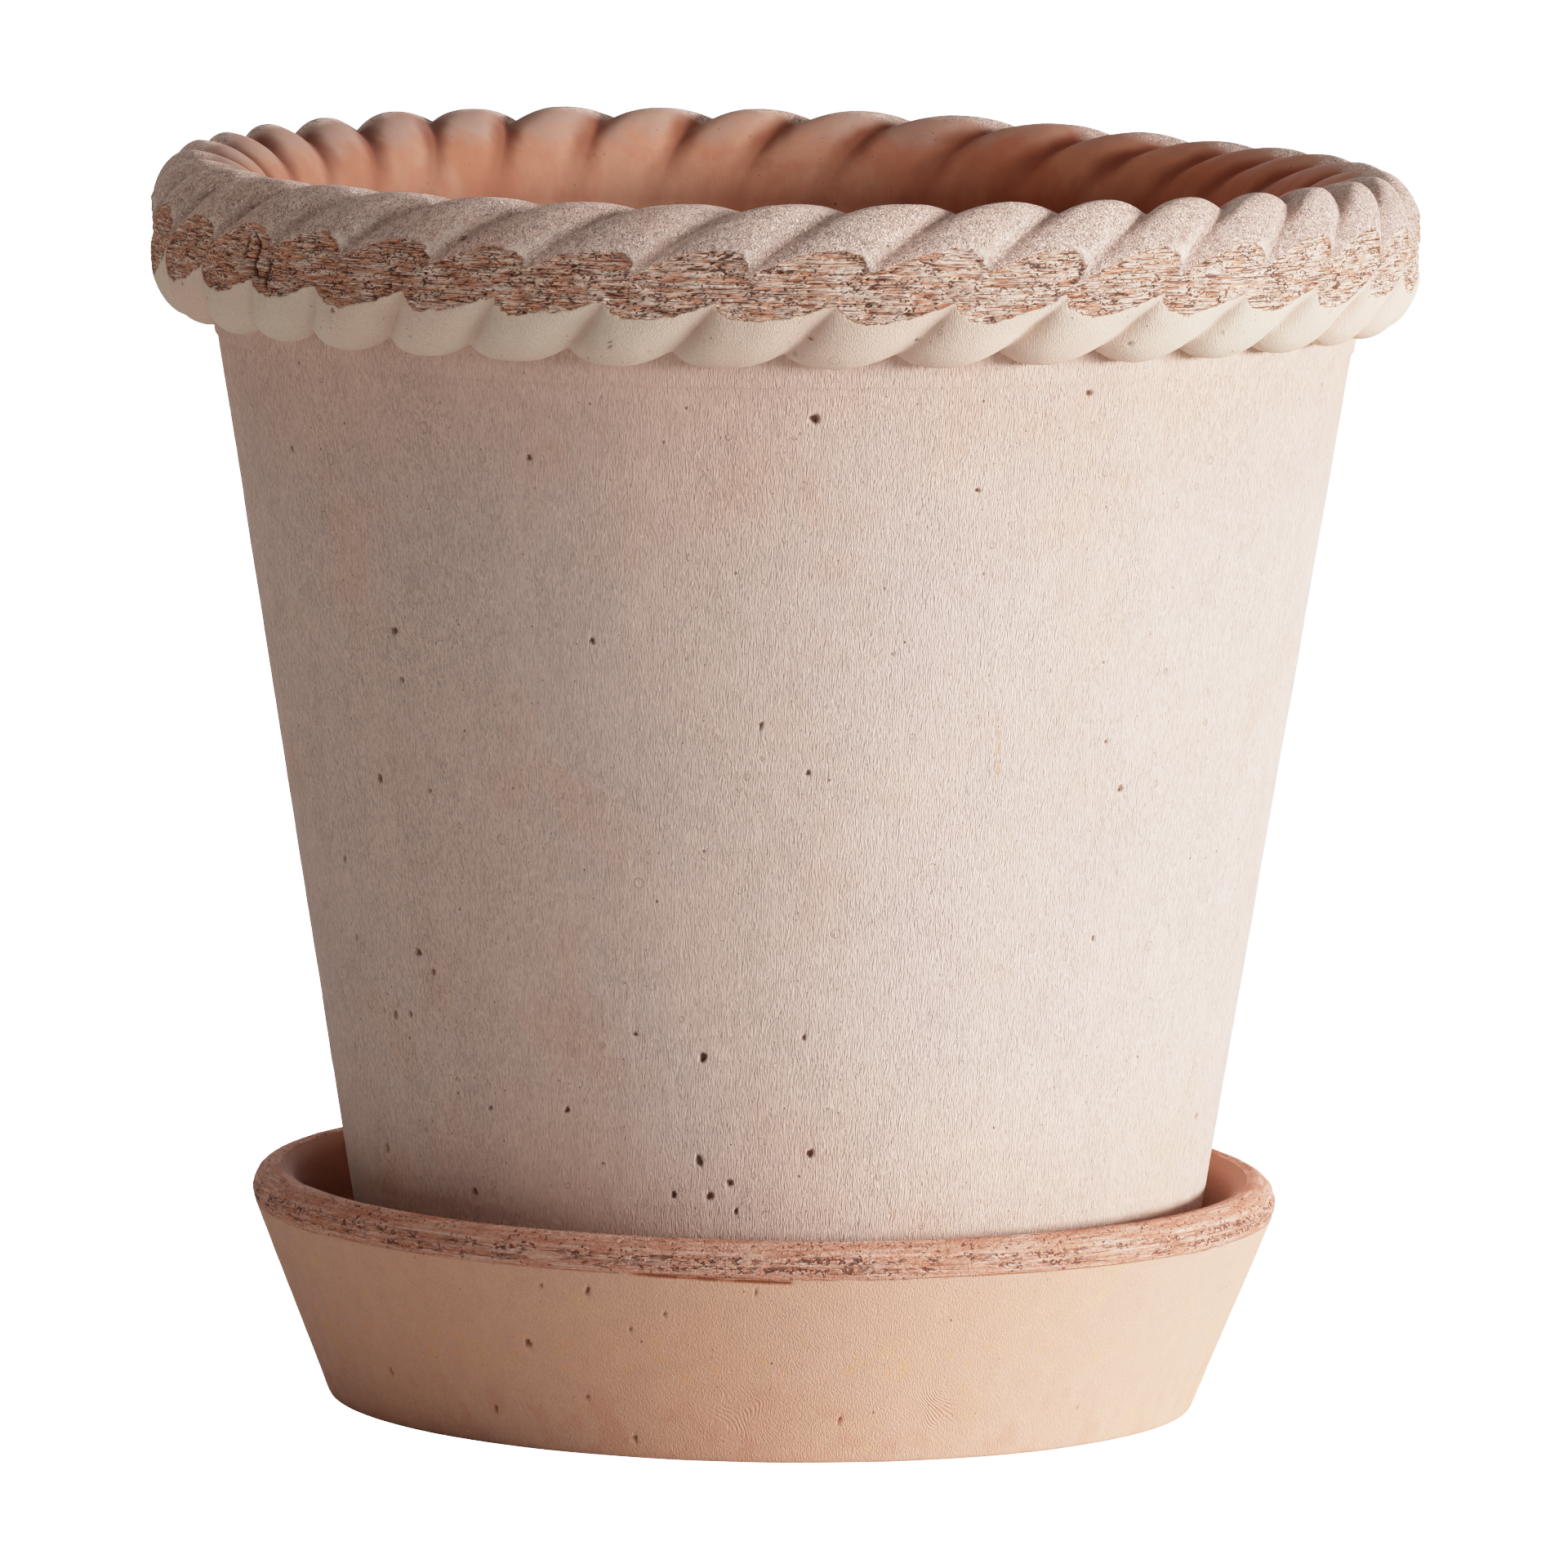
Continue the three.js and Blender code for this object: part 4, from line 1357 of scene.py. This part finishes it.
def saucer_material():
    mat = Nodes("bare_terracotta")
    part = mat.attrs(
        "lip crack hole dark dab flake foot_dirt inside row light scratch px py pz"
    )
    cloud = mat.noise(34, (3, 2, 1), up=30, detail=4.0, rough=0.55, warp=0.3)
    warm = mat.noise(90, (7, 4, 9), up=110, detail=4.0, rough=0.6, warp=0.4)
    mottle = mat.noise(320, (1, 9, 4), up=260, detail=4.0, rough=0.6)
    lean = 3.0  # radians per metre of height
    streak = mat.noise_at(
        mat.sheared(lean, across=5800, up=1900, offset=(5, 11, 5)), detail=1.0, rough=0.55
    )
    long_streak = mat.noise_at(
        mat.sheared(lean, across=5000, up=330, offset=(2, 4, 15)), detail=0.5
    )
    stipple = mat.noise(3300, (2, 2, 7), detail=1.0, rough=0.65)
    base = mat.mix(cloud.ramp(start=0.38, stop=0.62), (0.665, 0.338, 0.220), (0.640, 0.335, 0.232))
    base = mat.mix(warm.ramp(start=0.56, stop=0.68) * 0.5, base, (0.69, 0.36, 0.195))
    base = mat.shade(base, mottle, dark=0.955, light=1.04)
    base = mat.shade(base, streak, dark=0.930, light=1.055)
    base = mat.shade(base, long_streak, dark=0.965, light=1.03)
    base = mat.shade(base, stipple, dark=0.96, light=1.04)
    base = mat.layers(
        base,
        (part.dab * 0.28, (0.66, 0.33, 0.225)),
        (part.foot_dirt * 0.4, (0.60, 0.29, 0.19)),
        (part.inside * 0.9, (0.330, 0.125, 0.070)),
    )
    lip, lip_relief = saucer_lip(mat, part)

    def on_lip():
        return part.lip.ramp(start=0.2, stop=0.6)

    speck = mat.specks(cell_mm=3.6, radius=0.07, seed=14.0, share=0.14)
    tiny = mat.specks(cell_mm=1.6, radius=0.100, seed=19.0, share=0.20)
    specks = mat.maximum(speck, tiny * 0.75) * (1.0 - on_lip())
    # pale orange specks, most of them in a loose row half way up
    row = (part.pz + warm * 0.006).near(0.0175, outer=0.0032, inner=0.0016)
    smear = mat.noise(520, (8, 8, 1), up=620, detail=2.0).ramp(start=0.585, stop=0.64)
    off_lip = 1.0 - mat.maximum(on_lip(), part.inside)
    stray = mat.specks(cell_mm=5.0, radius=0.12, seed=24.0, share=0.08)
    pale = mat.maximum(smear * row, stray * 0.8) * off_lip
    # reddish smudges near the foot
    smudge = mat.noise(240, (6, 3, 3), up=160, detail=3.0).ramp(start=0.52, stop=0.64)
    red = part.pz.ramp(start=0.0125, stop=0.006) * smudge * off_lip
    scratch = part.scratch
    colour = mat.layers(
        mat.mix(on_lip(), base, lip),
        (part.crack * (1.0 - scratch) * 0.8, (0.27, 0.10, 0.055)),
        (scratch.ramp(start=0.10, stop=0.45) * 0.85, (0.42, 0.120, 0.048)),  # its red border
        (scratch.ramp(start=0.40, stop=0.75) * 0.80, (0.18, 0.050, 0.022)),  # its dark middle
        (part.hole * 0.9, (0.17, 0.06, 0.035)),
        (part.dark * 0.9, (0.20, 0.075, 0.04)),  # pits
        (specks * 0.75, (0.30, 0.12, 0.06)),
        (pale * 0.40, (0.76, 0.335, 0.150)),
        (red * 0.38, (0.58, 0.235, 0.150)),
    )
    # fine parallel ridges in the dabs, 0.58 mm apart along a bent slanting line
    bend = mat.noise(130, (3, 3, 3), detail=1.0)
    slant = (part.px + part.py) * 0.62 + (part.pz * 0.95 + bend * 0.011)
    broken = mat.noise(380, (2, 9, 2), detail=2.0).ramp(start=0.38, stop=0.56)
    ridges = mat.math("SINE", slant * (TAU / 0.00058)) * part.dab * broken
    colour = mat.gain(colour, 1.0 + ridges * 0.035)
    relief = streak * 0.55 + long_streak * 0.55 + stipple * 0.40 + ridges * 0.22
    relief = relief + lip_relief * part.lip
    relief = relief - specks * 1.6
    return mat.finish(colour, relief, distance=0.00014)


# ------------------------------------------------------------------ build
rim = make_rim()
body = make_body()
dish = make_saucer()
pot_clay, saucer_clay = pot_material(), saucer_material()
for ob, material, node, slot in (
    (rim, pot_clay, "pot", "pot_clay"),
    (body, pot_clay, "pot", "pot_clay"),
    (dish, saucer_clay, "saucer", "saucer_clay"),
):
    ob.data.materials.append(material)
    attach(ob, node)
    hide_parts(node)

# ------------------------------------------------------------------ stage
scene = bpy.context.scene
FLOOR_HALF = 30.0  # metres
FLOOR_GLOW = 8.6  # added to the floor for the camera only
WORLD_AMBIENT, WORLD_WHITE = 0.02, 12.0  # strength for other rays, and for the camera


def camera_switch(tree, seen, otherwise, output):
    """Camera rays get the seen shader; every other ray gets the other one."""
    path = tree.nodes.new("ShaderNodeLightPath")
    mix = tree.nodes.new("ShaderNodeMixShader")
    tree.links.new(path.outputs["Is Camera Ray"], mix.inputs[0])
    tree.links.new(otherwise.outputs[0], mix.inputs[1])
    tree.links.new(seen.outputs[0], mix.inputs[2])
    tree.links.new(mix.outputs[0], output.inputs["Surface"])


def floor_material():
    material = bpy.data.materials.new("pale_floor")
    material.use_nodes = True
    tree = material.node_tree
    tree.nodes.clear()
    output = tree.nodes.new("ShaderNodeOutputMaterial")
    diffuse = tree.nodes.new("ShaderNodeBsdfDiffuse")
    diffuse.inputs["Color"].default_value = (0.82, 0.81, 0.80, 1)
    glow = tree.nodes.new("ShaderNodeEmission")
    glow.inputs["Color"].default_value = (1, 1, 1, 1)
    glow.inputs["Strength"].default_value = FLOOR_GLOW
    add = tree.nodes.new("ShaderNodeAddShader")
    tree.links.new(glow.outputs[0], add.inputs[0])
    tree.links.new(diffuse.outputs[0], add.inputs[1])
    camera_switch(tree, seen=add, otherwise=diffuse, output=output)
    return material


def make_floor():
    half = FLOOR_HALF
    me = bpy.data.meshes.new("floor")
    corners = [(-half, -half, 0), (half, -half, 0), (half, half, 0), (-half, half, 0)]
    me.from_pydata(corners, [], [(0, 1, 2, 3)])
    ob = bpy.data.objects.new("floor", me)
    scene.collection.objects.link(ob)
    me.materials.append(floor_material())
    return ob


def make_world():
    world = bpy.data.worlds.new("studio")
    scene.world = world
    world.use_nodes = True
    tree = world.node_tree
    tree.nodes.clear()
    output = tree.nodes.new("ShaderNodeOutputWorld")

    def background(colour, strength):
        node = tree.nodes.new("ShaderNodeBackground")
        node.inputs["Color"].default_value = (*colour, 1)
        node.inputs["Strength"].default_value = strength
        return node

    ambient = background((1.0, 0.985, 0.97), WORLD_AMBIENT)
    white = background((1, 1, 1), WORLD_WHITE)
    camera_switch(tree, seen=white, otherwise=ambient, output=output)


make_floor()
make_world()

# ------------------------------------------------------------------ lights
PLAIN, WARM = (1, 1, 1), (1, 0.93, 0.88)
# azimuth from -Y towards +X, elevation, strength, apparent size (angles in degrees), colour
LIGHTS = [
    (90, 3, 2.99, 18, PLAIN), (70, 3, 1.82, 18, PLAIN), (50, 3, 0.76, 18, PLAIN),
    (60, 30, 0.165, 18, PLAIN), (0, 88, 0.43, 40, WARM), (-60, 20, 0.070, 30, WARM),
    (-100, 10, 0.030, 30, WARM), (180, 5, 0.45, 40, PLAIN), (-170, 14, 0.25, 40, PLAIN),
]


def make_sun(name, azimuth, elevation, strength, size, colour):
    """A soft distant light; strength is what a white surface facing it would send back."""
    light = bpy.data.lights.new(name, "SUN")
    light.energy = strength * math.pi
    light.angle = math.radians(size)
    light.color = colour
    ob = bpy.data.objects.new(name, light)
    turn, rise = math.radians(azimuth), math.radians(elevation)
    towards = Vector(
        (math.sin(turn) * math.cos(rise), -math.cos(turn) * math.cos(rise), math.sin(rise))
    )
    ob.rotation_mode = "QUATERNION"
    ob.rotation_quaternion = towards.to_track_quat("Z", "Y")
    scene.collection.objects.link(ob)


for i, light_row in enumerate(LIGHTS):
    make_sun(f"soft_{i}", *light_row)

# ------------------------------------------------------------------ camera
CAMERA_DISTANCE = 2.2536  # metres from the target
CAMERA_ELEVATION, CAMERA_ROLL = 0.123, 0.0176  # radians
CAMERA_TARGET = Vector((SHIFT_X * MM, 0, 0.080))
CAMERA_LENS = 362.860587  # mm, on a 36 mm sensor
CAMERA_SHIFT = (0.008875, 0.035135416667)  # in sensor widths

cam_data = bpy.data.cameras.new("camera")
cam = bpy.data.objects.new("camera", cam_data)
scene.collection.objects.link(cam)
scene.camera = cam
cam_data.sensor_width = 36.0
cam_data.sensor_fit = "HORIZONTAL"
cam_data.lens = CAMERA_LENS
cam_data.shift_x, cam_data.shift_y = CAMERA_SHIFT
cam_data.clip_start, cam_data.clip_end = 0.05, 100.0
back = Vector((0, -math.cos(CAMERA_ELEVATION), math.sin(CAMERA_ELEVATION)))
cam.rotation_mode = "QUATERNION"
cam.location = CAMERA_TARGET + back * CAMERA_DISTANCE
roll = Matrix.Rotation(CAMERA_ROLL, 4, "Z").to_quaternion()
cam.rotation_quaternion = back.to_track_quat("Z", "Y") @ roll

# ------------------------------------------------------------------ tone curve
WHITE_LEVEL = 10.0
SHOULDER = 0.915  # the brightness the product's tones level off at
FADE_START, FADE_END = 3.2, 8.8  # scene light over which the curve goes on to full white
CURVE_STATIONS = [
    0.03, 0.06, 0.1, 0.15, 0.2, 0.27, 0.35, 0.45, 0.57, 0.7, 0.85, 1.0,
    1.2, 1.4, 1.65, 1.9, 2.2, 2.5, 2.85, 3.2, 4.0, 5.5, 7.0, 8.8,
]


def response(light):
    """Display brightness for scene light."""
    value = SHOULDER * (1 - math.exp(-light / SHOULDER))
    if light > FADE_START:
        t = min(1.0, (light - FADE_START) / (FADE_END - FADE_START))
        value = value + (1.0 - value) * t
    return value


view = scene.view_settings
view.view_transform = "Standard"
view.look = "None"
view.exposure = 0.0
view.gamma = 1.0
view.use_curve_mapping = True
mapping = view.curve_mapping
mapping.black_level = (0, 0, 0)
mapping.white_level = (WHITE_LEVEL, WHITE_LEVEL, WHITE_LEVEL)
curve = mapping.curves[3]
for station in CURVE_STATIONS:
    curve.points.new(station / WHITE_LEVEL, response(station))
for point in curve.points:
    point.handle_type = "VECTOR"
mapping.update()
